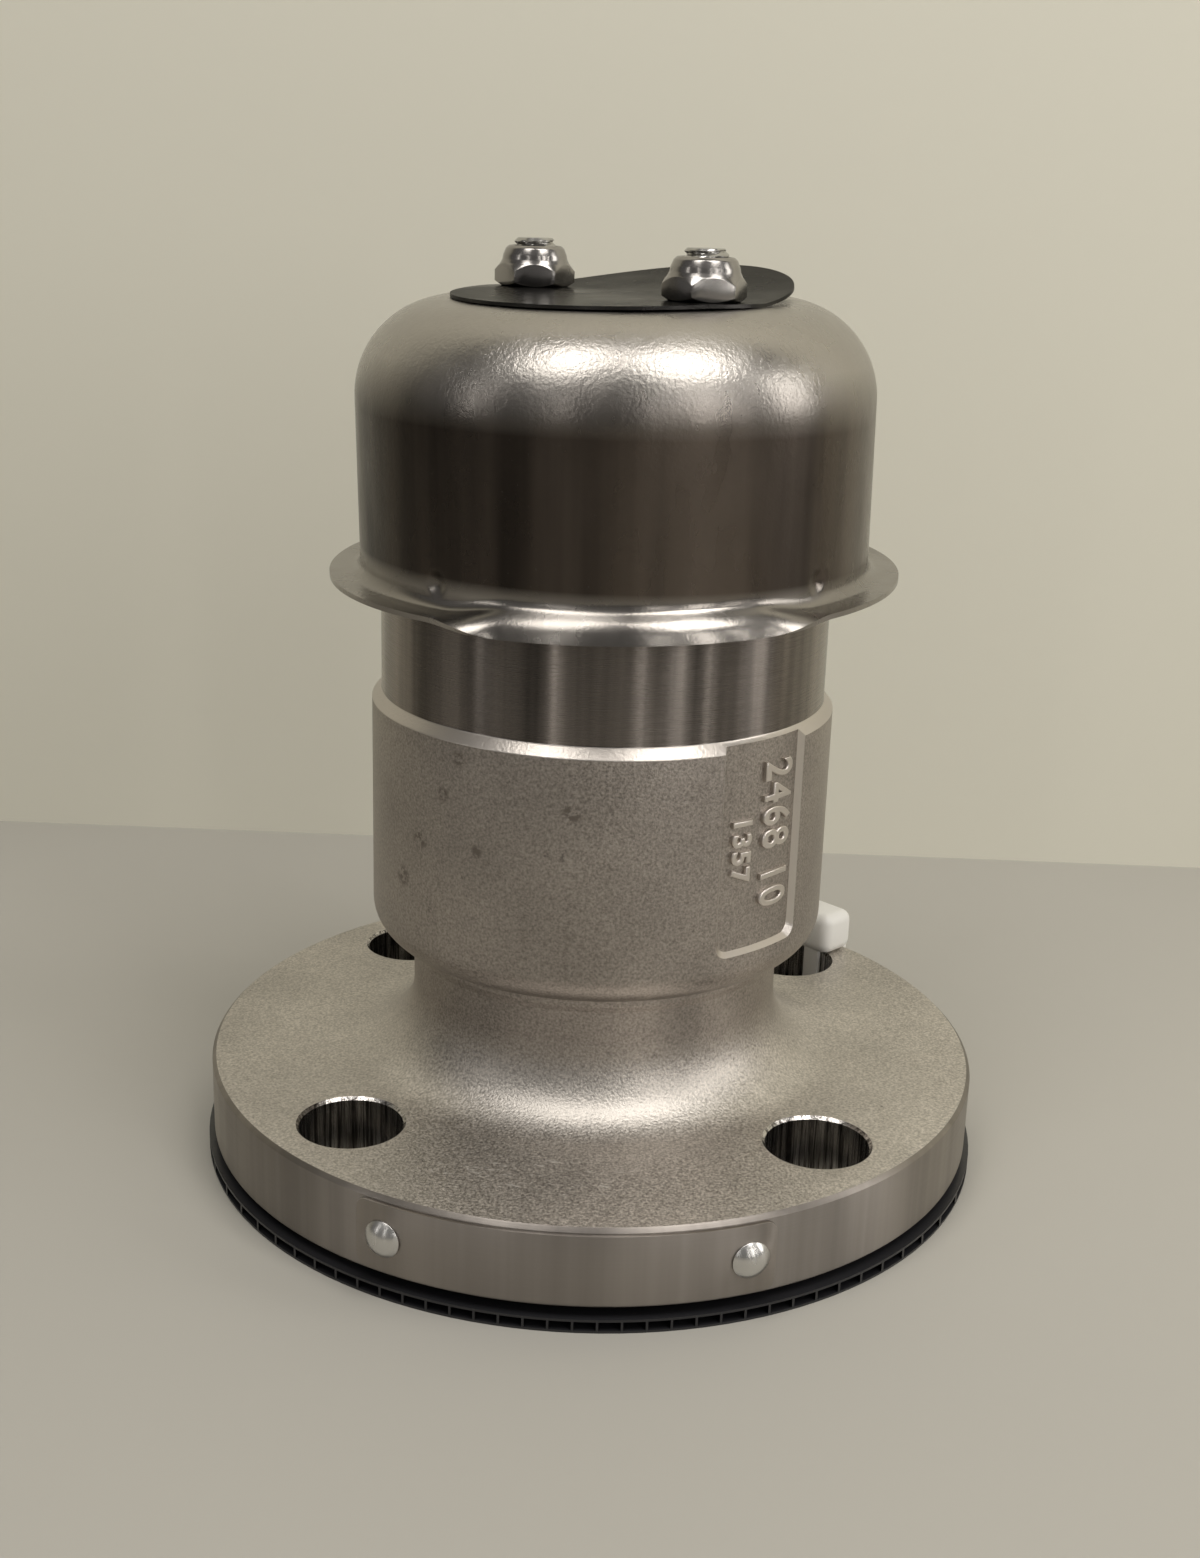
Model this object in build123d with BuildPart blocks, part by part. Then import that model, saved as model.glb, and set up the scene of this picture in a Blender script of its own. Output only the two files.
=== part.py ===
"""Spring loaded vacuum relief valve on a bolted tank flange.

Air is drawn in under the rim of the weather hood, passes the arms of the guide
spider and the seat ring, and pushes the valve disc down off its seat. A spring
around the stem lifts the disc back. Sizes are in millimetres, +Z is up, and the
origin is at the middle of the face that the valve stands on.
"""
from build123d import *
from math import cos, radians, sin, sqrt
import os

# Flange with four holes, for a 2 inch pipe of the 150 pound class
flange_diameter = 152.4
flange_thickness = 15.0
flange_edge_chamfer = 0.8
bolt_hole_diameter = 19.05
bolt_hole_edge_wall = 6.35
bolt_hole_count = 4
bolt_hole_chamfer = 0.55
raised_face_diameter = 92.1
raised_face_height = 1.6
port_diameter = 52.5

# Neck and chamber of the casting, heights counted from the top of the flange
neck_diameter = 72.4
neck_flare_radius = 13.0
collar_diameter = 73.8
collar_height = 20.8
chamber_diameter = 88.4
chamber_base_height = 24.3
chamber_shoulder_height = 71.5
register_diameter = 84.8
body_top_height = 94.0
cavity_diameter = 72.0
cavity_floor_height = 34.0
cavity_roof_height = 80.0
port_length_above_flange = 20.0

# Recessed panel cast into the chamber wall
panel_azimuth = 314.3
panel_width = 18.7
panel_base_height = 33.6
panel_depth = 1.1
panel_corner_radius = 2.2
panel_draft = 35.0

# Nameplate on the flange rim, held by two drive screws
nameplate_azimuth = 268.4
nameplate_half_angle = 28.0
nameplate_height = 13.2
nameplate_thickness = 0.8
nameplate_corner_radius = 2.2
drive_screw_azimuths = (244.6, 292.7)
drive_screw_head_diameter = 6.9
drive_screw_head_height = 1.9
drive_screw_shank_diameter = 2.5
drive_screw_length = 6.0

# Twin-wall plastic sheet that covers the raised face in transit
protector_overhang = 1.1
protector_thickness = 2.6
protector_bore_diameter = 60.0
protector_hole_clearance = 1.475
protector_skin = 0.45
protector_web = 0.4
protector_cell_pitch = 4.2

# Seat ring, dropped into a pocket in the top of the body
seat_pocket_diameter = 67.0
seat_pocket_depth = 7.0
seat_pocket_ledge = 2.5
seat_gasket_thickness = 0.8
seat_port_diameter = 48.0
seat_lip_width = 2.0
seat_lip_drop = 2.0

# Guide spider on top of the body
spider_diameter = 84.0
spider_opening_diameter = 54.0
spider_ring_thickness = 4.0
spider_arm_count = 4
spider_arm_width = 9.0
spider_arm_height = 6.0
hub_diameter = 18.0
hub_drop = 3.0
hub_height = 11.0
spider_screw_circle_diameter = 75.0
spider_screw_count = 4
spider_screw_diameter = 4.0
spider_screw_head_diameter = 7.0
spider_screw_head_height = 4.0
spider_screw_socket = 3.0
spider_screw_grip = 9.0
spider_washer_diameter = 7.8
spider_washer_thickness = 0.8

# Studs that carry the hood
stud_azimuth = 313.0
stud_circle_diameter = 46.2
stud_diameter = 7.94
stud_end_chamfer = 0.8
stud_protrusion = 1.3
stud_boss_diameter = 13.0
stud_boss_height = 8.0
stud_depth_in_boss = 7.5
hood_nut_across_flats = 12.7
hood_nut_thickness = 4.8
hood_washer_diameter = 12.8
hood_washer_thickness = 1.2

# Weather hood, drawn from sheet
hood_diameter = 95.0
hood_sheet = 0.9
hood_top_height = 145.9
hood_shoulder_radius = 18.0
hood_hole_diameter = 8.8
hood_turn = 6.6
ear_half_angle = 48.0
lip_half_angle = 23.2
rim_bend_radius = 2.5
rim_length = 7.9
rim_join_height = 103.0
ear_bend_start_height = 98.5
ear_turn = 90.0
lip_bend_start_height = 99.9
lip_turn = 38.2
rim_sections = 5
rim_join_relief = 0.02
dimple_angle = 46.6
dimple_height = 100.6
dimple_radius = 2.8
dimple_depth = 0.85

# Thin disc under the lock nuts, curled up beside the line of the studs
cover_disc_diameter = 62.0
cover_disc_thickness = 0.6
cover_disc_rise_back = 3.4
cover_disc_rise_front = 1.0
cover_disc_flat_width = 15.6
cover_disc_offset = 1.7

# Lock nuts with a soft insert
lock_nut_across_flats = 13.1
lock_nut_hex_height = 4.8
lock_nut_height = 7.5
lock_nut_collar_diameter = 12.2
lock_nut_crown_diameter = 10.6
insert_thickness = 1.7
insert_width = 1.0
lock_nut_turns = (-0.6, -9.1)

# Stem, valve disc and what is clamped between them
stem_diameter = 8.0
stem_tail_diameter = 6.0
stem_shoulder_diameter = 14.0
stem_shoulder_height = 2.0
stem_tail_length = 3.0
running_clearance = 0.05
assembly_clearance = 0.1
bushing_wall = 2.0
bushing_flange_diameter = 17.0
bushing_flange_thickness = 1.5
disc_diameter = 58.0
disc_plate_thickness = 3.0
disc_hub_diameter = 18.0
disc_hub_height = 3.0
disc_rim_width = 1.5
disc_rim_height = 2.0
seal_thickness = 2.8
seal_bore_diameter = 28.0
retainer_diameter = 43.6
retainer_thickness = 2.5
stem_nut_across_flats = 10.0
stem_nut_thickness = 5.0
stem_washer_diameter = 12.0
stem_washer_thickness = 1.0
cotter_pin_diameter = 1.4
cotter_pin_length = 11.0
cotter_pin_drop = 1.2

# Spring stack above the hub
valve_lift = 8.0
spring_seat_diameter = 27.0
spring_seat_thickness = 1.2
spring_wire_diameter = 1.8
spring_mean_diameter = 22.0
spring_fitted_length = 23.0
spring_turns = 6
follower_thickness = 2.3
stop_sleeve_diameter = 13.2
stem_top_nut_across_flats = 13.0
adjusting_nut_thickness = 4.5
check_nut_thickness = 3.0
stem_thread_over_nuts = 2.0

# Heights and radii worked out from the sizes above
flange_radius = flange_diameter / 2
bolt_hole_radius = bolt_hole_diameter / 2
bolt_circle_radius = flange_radius - bolt_hole_edge_wall - bolt_hole_radius
protector_radius = flange_radius + protector_overhang
protector_hole_radius = bolt_hole_radius + protector_hole_clearance
port_radius = port_diameter / 2
neck_radius = neck_diameter / 2
collar_radius = collar_diameter / 2
chamber_radius = chamber_diameter / 2
register_radius = register_diameter / 2
cavity_radius = cavity_diameter / 2
seat_pocket_radius = seat_pocket_diameter / 2
seat_ledge_radius = seat_pocket_radius - seat_pocket_ledge
seat_port_radius = seat_port_diameter / 2
stem_radius = stem_diameter / 2
stem_tail_radius = stem_tail_diameter / 2
stud_radius = stud_diameter / 2
stud_circle_radius = stud_circle_diameter / 2
spider_screw_radius = spider_screw_diameter / 2
spider_screw_circle_radius = spider_screw_circle_diameter / 2
spider_screw_azimuth = stud_azimuth + 180 / spider_arm_count
hood_radius = hood_diameter / 2

face_z = protector_thickness
flange_underside_z = face_z + raised_face_height
flange_top_z = flange_underside_z + flange_thickness
chamber_base_z = flange_top_z + chamber_base_height
shoulder_z = flange_top_z + chamber_shoulder_height
body_top_z = flange_top_z + body_top_height
pocket_floor_z = body_top_z - seat_pocket_depth
seat_ring_underside_z = pocket_floor_z + seat_gasket_thickness
seat_z = seat_ring_underside_z - seat_lip_drop
spider_ring_top_z = body_top_z + spider_ring_thickness
hub_base_z = body_top_z - hub_drop
hub_top_z = body_top_z + hub_height
bushing_top_z = hub_top_z + bushing_flange_thickness
spring_base_z = bushing_top_z + spring_seat_thickness
spring_top_z = spring_base_z + spring_fitted_length
follower_top_z = spring_top_z + follower_thickness
adjusting_nut_top_z = follower_top_z + adjusting_nut_thickness
check_nut_top_z = adjusting_nut_top_z + check_nut_thickness
stem_top_z = check_nut_top_z + stem_thread_over_nuts
seal_base_z = seat_z - seal_thickness
disc_base_z = seal_base_z - disc_plate_thickness
disc_hub_base_z = disc_base_z - disc_hub_height
stem_washer_base_z = disc_hub_base_z - stem_washer_thickness
stem_nut_base_z = stem_washer_base_z - stem_nut_thickness
stem_base_z = stem_nut_base_z - stem_tail_length
retainer_top_z = seat_z + retainer_thickness
hood_top_z = flange_top_z + hood_top_height
hood_underside_z = hood_top_z - hood_sheet
rim_join_z = flange_top_z + rim_join_height
cover_disc_top_z = hood_top_z + cover_disc_thickness
lock_nut_top_z = cover_disc_top_z + lock_nut_height
hood_washer_base_z = hood_underside_z - hood_washer_thickness
hood_nut_base_z = hood_washer_base_z - hood_nut_thickness

os.makedirs("parts", exist_ok=True)


def keep(piece, name):
    """Label a finished piece and write it under its own name."""
    piece.part.label = name
    export_step(piece.part, f"parts/{name}.step")


def section_plane(azimuth):
    """Upright plane through the axis: local x points outwards, local y up."""
    outwards = (cos(radians(azimuth)), sin(radians(azimuth)), 0)
    sideways = (sin(radians(azimuth)), -cos(radians(azimuth)), 0)
    return Plane(origin=(0, 0, 0), x_dir=outwards, z_dir=sideways)


def rim_plane(azimuth, distance, height):
    """Plane that faces outwards at a distance from the axis, local y up."""
    outwards = (cos(radians(azimuth)), sin(radians(azimuth)), 0)
    across = (-sin(radians(azimuth)), cos(radians(azimuth)), 0)
    origin = (distance * outwards[0], distance * outwards[1], height)
    return Plane(origin=origin, x_dir=across, z_dir=outwards)


def nearest(vertices, x, y):
    """The vertex of a sketch nearest to a local point."""
    return vertices.sort_by_distance((x, y, 0))[0]


def ring(name, outer_radius, inner_radius, base_z, height):
    """A plain washer or gasket on the axis."""
    with BuildPart() as piece:
        with BuildSketch(Plane.XY.offset(base_z)):
            Circle(outer_radius)
            Circle(inner_radius, mode=Mode.SUBTRACT)
        extrude(amount=height)
    keep(piece, name)


def hex_nut(across_flats, bore_radius, base_z, height):
    """A plain hexagon nut on the axis, its corners chamfered at both ends."""
    flat_radius = across_flats / 2
    corner_radius = across_flats / sqrt(3)
    bevel = corner_radius - flat_radius
    with BuildPart() as nut:
        with BuildSketch(Plane.XY.offset(base_z)):
            RegularPolygon(corner_radius, 6)
            Circle(bore_radius, mode=Mode.SUBTRACT)
        extrude(amount=height)
        with BuildSketch(Plane.XZ):
            Polygon(
                (0, base_z),
                (flat_radius, base_z),
                (corner_radius, base_z + bevel / sqrt(3)),
                (corner_radius, base_z + height - bevel / sqrt(3)),
                (flat_radius, base_z + height),
                (0, base_z + height),
                align=None,
            )
        revolve(axis=Axis.Z, mode=Mode.INTERSECT)
    return nut


# Body casting: flange, flared neck, chamber and machined register in one piece
chamber_corner_radius = chamber_radius - collar_radius
ledge_width = chamber_radius - register_radius
collar_z = flange_top_z + collar_height
port_top_z = flange_top_z + port_length_above_flange
cavity_floor_z = flange_top_z + cavity_floor_height
cavity_roof_z = flange_top_z + cavity_roof_height
roof_taper = cavity_radius - seat_ledge_radius
with BuildPart() as valve_body:
    with BuildSketch(Plane.XZ) as body_section:
        with BuildLine():
            Polyline(
                (port_radius, face_z),
                (raised_face_diameter / 2, face_z),
                (raised_face_diameter / 2, flange_underside_z),
                (flange_radius, flange_underside_z),
                (flange_radius, flange_top_z - flange_edge_chamfer),
                (flange_radius - flange_edge_chamfer, flange_top_z),
                (neck_radius + neck_flare_radius, flange_top_z),
            )
            CenterArc(
                (neck_radius + neck_flare_radius, flange_top_z + neck_flare_radius),
                neck_flare_radius, 270, -90,
            )
            Polyline(
                (neck_radius, flange_top_z + neck_flare_radius),
                (neck_radius, collar_z),
                (collar_radius, collar_z + 2 * (collar_radius - neck_radius)),
                (collar_radius, chamber_base_z),
            )
            CenterArc(
                (collar_radius, chamber_base_z + chamber_corner_radius),
                chamber_corner_radius, 270, 90,
            )
            Polyline(
                (chamber_radius, chamber_base_z + chamber_corner_radius),
                (chamber_radius, shoulder_z),
                (register_radius, shoulder_z + ledge_width),
                (register_radius, body_top_z),
                (seat_pocket_radius, body_top_z),
                (seat_pocket_radius, pocket_floor_z),
                (seat_ledge_radius, pocket_floor_z),
                (seat_ledge_radius, cavity_roof_z + roof_taper),
                (cavity_radius, cavity_roof_z),
                (cavity_radius, cavity_floor_z),
                (port_radius, port_top_z),
                (port_radius, face_z),
            )
        make_face()
        corners = body_section.vertices()
        fillet(nearest(corners, collar_radius, collar_z + 2 * (collar_radius - neck_radius)), 0.9)
        fillet(nearest(corners, neck_radius, collar_z), 1.2)
        fillet(nearest(corners, register_radius, shoulder_z + ledge_width), 0.7)
        fillet(nearest(corners, chamber_radius, shoulder_z), 0.3)
        fillet(nearest(corners, flange_radius, flange_underside_z), 0.5)
        fillet(nearest(corners, cavity_radius, cavity_floor_z), 6.0)
        chamfer(nearest(corners, register_radius, body_top_z), 1.0)
        chamfer(nearest(corners, port_radius, face_z), 0.5)
    revolve(axis=Axis.Z)
    with Locations((0, 0, flange_top_z)):
        with PolarLocations(bolt_circle_radius, bolt_hole_count, start_angle=180 / bolt_hole_count):
            CounterSinkHole(bolt_hole_radius, bolt_hole_radius + bolt_hole_chamfer,
                            depth=flange_thickness + raised_face_height, counter_sink_angle=90)
    with BuildSketch(Plane.XY.offset(body_top_z)):
        with PolarLocations(spider_screw_circle_radius, spider_screw_count,
                            start_angle=spider_screw_azimuth):
            Circle(spider_screw_radius)
    extrude(amount=-spider_screw_grip - 1.5, mode=Mode.SUBTRACT)
    for azimuth in drive_screw_azimuths:
        rim_height = (flange_underside_z + flange_top_z) / 2
        with BuildSketch(rim_plane(azimuth, flange_radius, rim_height)):
            Circle(drive_screw_shank_diameter / 2)
        extrude(amount=-drive_screw_length - 0.5, mode=Mode.SUBTRACT)

# The panel's cutter: a drafted rounded pocket that stops at a round floor
panel_base_z = flange_top_z + panel_base_height
panel_top_z = shoulder_z + ledge_width + 1.0
panel_height = panel_top_z - panel_base_z
panel_floor_radius = chamber_radius - panel_depth
panel_edge_distance = sqrt(panel_floor_radius ** 2 - (panel_width / 2) ** 2)
with BuildPart() as panel_cutter:
    middle_z = panel_base_z + panel_height / 2
    with BuildSketch(rim_plane(panel_azimuth, panel_edge_distance, middle_z)) as panel_face:
        Rectangle(panel_width, panel_height)
        low_corners = panel_face.vertices().group_by(Axis.Y)[0]
        fillet(low_corners, panel_corner_radius)
    extrude(amount=panel_depth + chamber_radius - panel_edge_distance + 1.0, taper=-panel_draft)
    with BuildSketch(Plane.XY.offset(panel_base_z - panel_height)):
        Circle(panel_floor_radius)
    extrude(amount=3 * panel_height, mode=Mode.SUBTRACT)
with valve_body:
    add(panel_cutter.part, mode=Mode.SUBTRACT)
keep(valve_body, "valve_body")

# Flange protector: two skins joined by thin webs, open at the cut edge
cell_count = int(2 * protector_radius / protector_cell_pitch)
with BuildPart() as flange_protector:
    with BuildSketch(Plane.XY):
        Circle(protector_radius)
        Circle(protector_bore_diameter / 2, mode=Mode.SUBTRACT)
        with PolarLocations(bolt_circle_radius, bolt_hole_count, start_angle=180 / bolt_hole_count):
            Circle(protector_hole_radius, mode=Mode.SUBTRACT)
    extrude(amount=protector_thickness)
    with BuildSketch(Plane.XZ):
        with Locations((0, protector_thickness / 2)):
            with GridLocations(protector_cell_pitch, 1, cell_count, 1):
                Rectangle(protector_cell_pitch - protector_web, protector_thickness - 2 * protector_skin)
    extrude(amount=protector_radius, both=True, mode=Mode.SUBTRACT)
keep(flange_protector, "flange_protector")

# Nameplate, bent to the rim and cut from a ring of sheet
rim_middle_z = (flange_underside_z + flange_top_z) / 2
plate_outer_radius = flange_radius + nameplate_thickness
plate_width = 2 * plate_outer_radius * sin(radians(nameplate_half_angle))
with BuildPart() as nameplate:
    with BuildSketch(rim_plane(nameplate_azimuth, 0, rim_middle_z)):
        RectangleRounded(plate_width, nameplate_height, nameplate_corner_radius)
    extrude(amount=flange_diameter)
    with BuildSketch(Plane.XY):
        Circle(plate_outer_radius)
        Circle(flange_radius, mode=Mode.SUBTRACT)
    extrude(amount=flange_top_z, mode=Mode.INTERSECT)
    for azimuth in drive_screw_azimuths:
        with BuildSketch(rim_plane(azimuth, flange_radius - 1, rim_middle_z)):
            Circle(drive_screw_shank_diameter / 2)
        extrude(amount=nameplate_thickness + 2, mode=Mode.SUBTRACT)
keep(nameplate, "nameplate")

# Two drive screws with low domed heads, each made upright and then laid in place
shank_radius = drive_screw_shank_diameter / 2 - running_clearance
head_radius = drive_screw_head_diameter / 2
head_edge = 0.3
dome_rise = drive_screw_head_height - head_edge
dome_radius = (head_radius ** 2 + dome_rise ** 2) / (2 * dome_rise)
dome_half = sqrt(dome_radius ** 2 - (head_radius / 2) ** 2) - dome_radius
with BuildPart() as drive_screw:
    with BuildSketch(Plane.XZ):
        with BuildLine():
            Polyline((0, drive_screw_head_height), (0, -drive_screw_length), (shank_radius, -drive_screw_length),
                     (shank_radius, 0), (head_radius, 0), (head_radius, head_edge))
            ThreePointArc((head_radius, head_edge), (head_radius / 2, drive_screw_head_height + dome_half),
                          (0, drive_screw_head_height))
        make_face()
    revolve(axis=Axis.Z)
with BuildPart() as drive_screws:
    with Locations(*[rim_plane(azimuth, plate_outer_radius, rim_middle_z) for azimuth in drive_screw_azimuths]):
        add(drive_screw.part)
keep(drive_screws, "drive_screws")

# Seat ring with a lip that the seal closes against, and its gasket
ring("seat_gasket", seat_pocket_radius - assembly_clearance, seat_ledge_radius,
     pocket_floor_z, seat_gasket_thickness)
with BuildPart() as seat_ring:
    with BuildSketch(Plane.XZ):
        Polygon(
            (seat_port_radius, seat_z),
            (seat_port_radius + seat_lip_width, seat_z),
            (seat_port_radius + 1.5 * seat_lip_width, seat_ring_underside_z),
            (seat_pocket_radius - assembly_clearance, seat_ring_underside_z),
            (seat_pocket_radius - assembly_clearance, body_top_z),
            (seat_port_radius + seat_lip_width, body_top_z),
            (seat_port_radius, body_top_z - seat_lip_width),
            align=None,
        )
    revolve(axis=Axis.Z)
keep(seat_ring, "seat_ring")

# Guide spider: ring, four arms, hub and a boss for each stud
bushing_radius = stem_radius + running_clearance + bushing_wall
with BuildPart() as guide_spider:
    with BuildSketch(Plane.XY.offset(body_top_z)):
        Circle(spider_diameter / 2)
        Circle(spider_opening_diameter / 2, mode=Mode.SUBTRACT)
    extrude(amount=spider_ring_thickness)
    with BuildSketch(Plane.XY.offset(body_top_z)):
        arm_length = spider_opening_diameter / 2 + 2.0
        with PolarLocations(0, spider_arm_count, start_angle=stud_azimuth):
            Rectangle(arm_length, spider_arm_width, align=(Align.MIN, Align.CENTER))
    extrude(amount=spider_arm_height)
    with BuildSketch(Plane.XY.offset(hub_base_z)):
        Circle(hub_diameter / 2)
    extrude(amount=hub_top_z - hub_base_z)
    with BuildSketch(Plane.XY.offset(body_top_z)):
        with PolarLocations(stud_circle_radius, 2, start_angle=stud_azimuth):
            Circle(stud_boss_diameter / 2)
    extrude(amount=stud_boss_height)
    with BuildSketch(Plane.XY.offset(hub_base_z)):
        Circle(bushing_radius)
        with PolarLocations(stud_circle_radius, 2, start_angle=stud_azimuth):
            Circle(stud_radius)
        with PolarLocations(spider_screw_circle_radius, spider_screw_count,
                            start_angle=spider_screw_azimuth):
            Circle(spider_screw_radius + assembly_clearance)
    extrude(amount=hub_top_z - hub_base_z, mode=Mode.SUBTRACT)
keep(guide_spider, "guide_spider")

# Socket head screws and washers that hold the spider on the body
with BuildPart() as spider_washers:
    with BuildSketch(Plane.XY.offset(spider_ring_top_z)):
        with PolarLocations(spider_screw_circle_radius, spider_screw_count,
                            start_angle=spider_screw_azimuth):
            Circle(spider_washer_diameter / 2)
            Circle(spider_screw_radius + assembly_clearance, mode=Mode.SUBTRACT)
    extrude(amount=spider_washer_thickness)
keep(spider_washers, "spider_washers")
screw_seat_z = spider_ring_top_z + spider_washer_thickness
screw_places = PolarLocations(spider_screw_circle_radius, spider_screw_count,
                              start_angle=spider_screw_azimuth)
with BuildPart() as spider_screws:
    with BuildSketch(Plane.XY.offset(body_top_z - spider_screw_grip)):
        with screw_places:
            Circle(spider_screw_radius - running_clearance)
    extrude(amount=spider_screw_grip + screw_seat_z - body_top_z)
    with BuildSketch(Plane.XY.offset(screw_seat_z)):
        with screw_places:
            Circle(spider_screw_head_diameter / 2)
    extrude(amount=spider_screw_head_height)
    with BuildSketch(Plane.XY.offset(screw_seat_z + spider_screw_head_height)):
        with screw_places:
            RegularPolygon(spider_screw_socket / sqrt(3), 6)
    extrude(amount=-spider_screw_head_height / 2, mode=Mode.SUBTRACT)
keep(spider_screws, "spider_screws")

# Flanged bushing that guides the stem in the hub
with BuildPart() as guide_bushing:
    with BuildSketch(Plane.XZ):
        Polygon(
            (stem_radius + running_clearance, hub_base_z),
            (bushing_radius, hub_base_z),
            (bushing_radius, hub_top_z),
            (bushing_flange_diameter / 2, hub_top_z),
            (bushing_flange_diameter / 2, bushing_top_z),
            (stem_radius + running_clearance, bushing_top_z),
            align=None,
        )
    revolve(axis=Axis.Z)
keep(guide_bushing, "guide_bushing")

# Studs in the bosses, with the nuts and washers that carry the hood
stud_places = PolarLocations(stud_circle_radius, 2, start_angle=stud_azimuth)
stud_base_z = body_top_z + stud_boss_height - stud_depth_in_boss
stud_top_z = lock_nut_top_z + stud_protrusion
with BuildPart() as hood_studs:
    with BuildSketch(Plane.XY.offset(stud_base_z)):
        with stud_places:
            Circle(stud_radius)
    extrude(amount=stud_top_z - stud_base_z)
    chamfer(hood_studs.edges().group_by(Axis.Z)[-1], stud_end_chamfer)
keep(hood_studs, "hood_studs")
support_nut = hex_nut(hood_nut_across_flats, stud_radius, hood_nut_base_z, hood_nut_thickness)
with BuildPart() as hood_support_nuts:
    with stud_places:
        add(support_nut.part)
keep(hood_support_nuts, "hood_support_nuts")
with BuildPart() as hood_support_washers:
    with BuildSketch(Plane.XY.offset(hood_washer_base_z)):
        with stud_places:
            Circle(hood_washer_diameter / 2)
            Circle(stud_radius + assembly_clearance, mode=Mode.SUBTRACT)
    extrude(amount=hood_washer_thickness)
keep(hood_support_washers, "hood_support_washers")


def rim_outline(blend, offset, reach_relief):
    """Points of the hood's wall and rim at an offset from the middle of the sheet.

    blend 0 is the lip that bends down and 1 the flat ear. The points are the top
    of the wall, the start, middle and end of the bend, and the free edge.
    """
    turn = lip_turn + blend * (ear_turn - lip_turn)
    bend_start = lip_bend_start_height + blend * (ear_bend_start_height - lip_bend_start_height)
    middle_radius = hood_radius - hood_sheet / 2
    centre = (middle_radius + rim_bend_radius, flange_top_z + bend_start)
    radius = rim_bend_radius - offset
    start, middle, end = [(centre[0] - radius * cos(radians(angle)), centre[1] - radius * sin(radians(angle)))
                          for angle in (0, turn / 2, turn)]
    reach = rim_length - rim_bend_radius * radians(turn) - reach_relief
    edge = (end[0] + reach * sin(radians(turn)), end[1] - reach * cos(radians(turn)))
    return (middle_radius + offset, rim_join_z), start, middle, end, edge


def rim_section(azimuth, blend, relief=0):
    """Section of the hood's sheet below the join, on the upright plane at an azimuth."""
    outer = rim_outline(blend, hood_sheet / 2 - relief, relief)
    inner = rim_outline(blend, relief - hood_sheet / 2, relief)
    with BuildSketch(section_plane(azimuth)) as section:
        with BuildLine():
            Line(outer[0], outer[1])
            ThreePointArc(outer[1], outer[2], outer[3])
            Polyline(outer[3], outer[4], inner[4], inner[3])
            ThreePointArc(inner[3], inner[2], inner[1])
            Polyline(inner[1], inner[0], outer[0])
        make_face()
    return section.sketch


def rim_blend(azimuth_from_ear):
    """How far the rim is an ear, counted from the middle of the nearest ear."""
    span = 90 - ear_half_angle - lip_half_angle
    share = min(max((azimuth_from_ear - ear_half_angle) / span, 0), 1)
    return 1 - share * share * (3 - 2 * share)


# Hood: the drawn cup, two flat ears, two lips bent down and four twisted joins
shoulder_flat_radius = hood_radius - hood_shoulder_radius
shoulder_z_hood = hood_top_z - hood_shoulder_radius
with BuildPart() as hood:
    with BuildSketch(Plane.XZ):
        with BuildLine():
            Polyline((0, hood_underside_z), (0, hood_top_z), (shoulder_flat_radius, hood_top_z))
            CenterArc((shoulder_flat_radius, shoulder_z_hood), hood_shoulder_radius, 90, -90)
            Polyline((hood_radius, shoulder_z_hood), (hood_radius, rim_join_z),
                     (hood_radius - hood_sheet, rim_join_z), (hood_radius - hood_sheet, shoulder_z_hood))
            CenterArc((shoulder_flat_radius, shoulder_z_hood), hood_shoulder_radius - hood_sheet, 0, 90)
            Line((shoulder_flat_radius, hood_underside_z), (0, hood_underside_z))
        make_face()
    revolve(axis=Axis.Z)
    for middle, half_angle, blend in ((0, ear_half_angle, 1), (90, lip_half_angle, 0),
                                      (180, ear_half_angle, 1), (270, lip_half_angle, 0)):
        start = rim_section(hood_turn + middle - half_angle, blend)
        revolve(start, axis=Axis.Z, revolution_arc=2 * half_angle)
    join_span = 90 - ear_half_angle - lip_half_angle
    join_angles = [ear_half_angle + join_span * step / (rim_sections - 1) for step in range(rim_sections)]
    for ear_middle in (0, 180):
        for side in (1, -1):
            loft([rim_section(hood_turn + ear_middle + side * angle, rim_blend(angle), rim_join_relief)
                  for angle in join_angles])
    dimple_distance = hood_radius + dimple_radius - dimple_depth
    dimple_azimuths = [hood_turn + ear + side * dimple_angle for ear in (0, 180) for side in (1, -1)]
    dimple_places = [(dimple_distance * cos(radians(angle)), dimple_distance * sin(radians(angle)),
                      flange_top_z + dimple_height) for angle in dimple_azimuths]
    with BuildPart(mode=Mode.PRIVATE) as dimple_backs:
        with Locations(*dimple_places):
            Sphere(dimple_radius + hood_sheet)
        with Locations((0, 0, flange_top_z + dimple_height)):
            Cylinder(hood_radius - hood_sheet / 2, 4 * dimple_radius, mode=Mode.INTERSECT)
    add(dimple_backs.part)
    with Locations(*dimple_places):
        Sphere(dimple_radius, mode=Mode.SUBTRACT)
    with BuildSketch(Plane.XY.offset(hood_underside_z)):
        with stud_places:
            Circle(hood_hole_diameter / 2)
    extrude(amount=hood_sheet, mode=Mode.SUBTRACT)
keep(hood, "hood")

# Cover disc: flat along the line of the studs, curled up on both sides of it
disc_cover_radius = cover_disc_diameter / 2
flat_half = cover_disc_flat_width / 2
curl_reach = disc_cover_radius - flat_half


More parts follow.
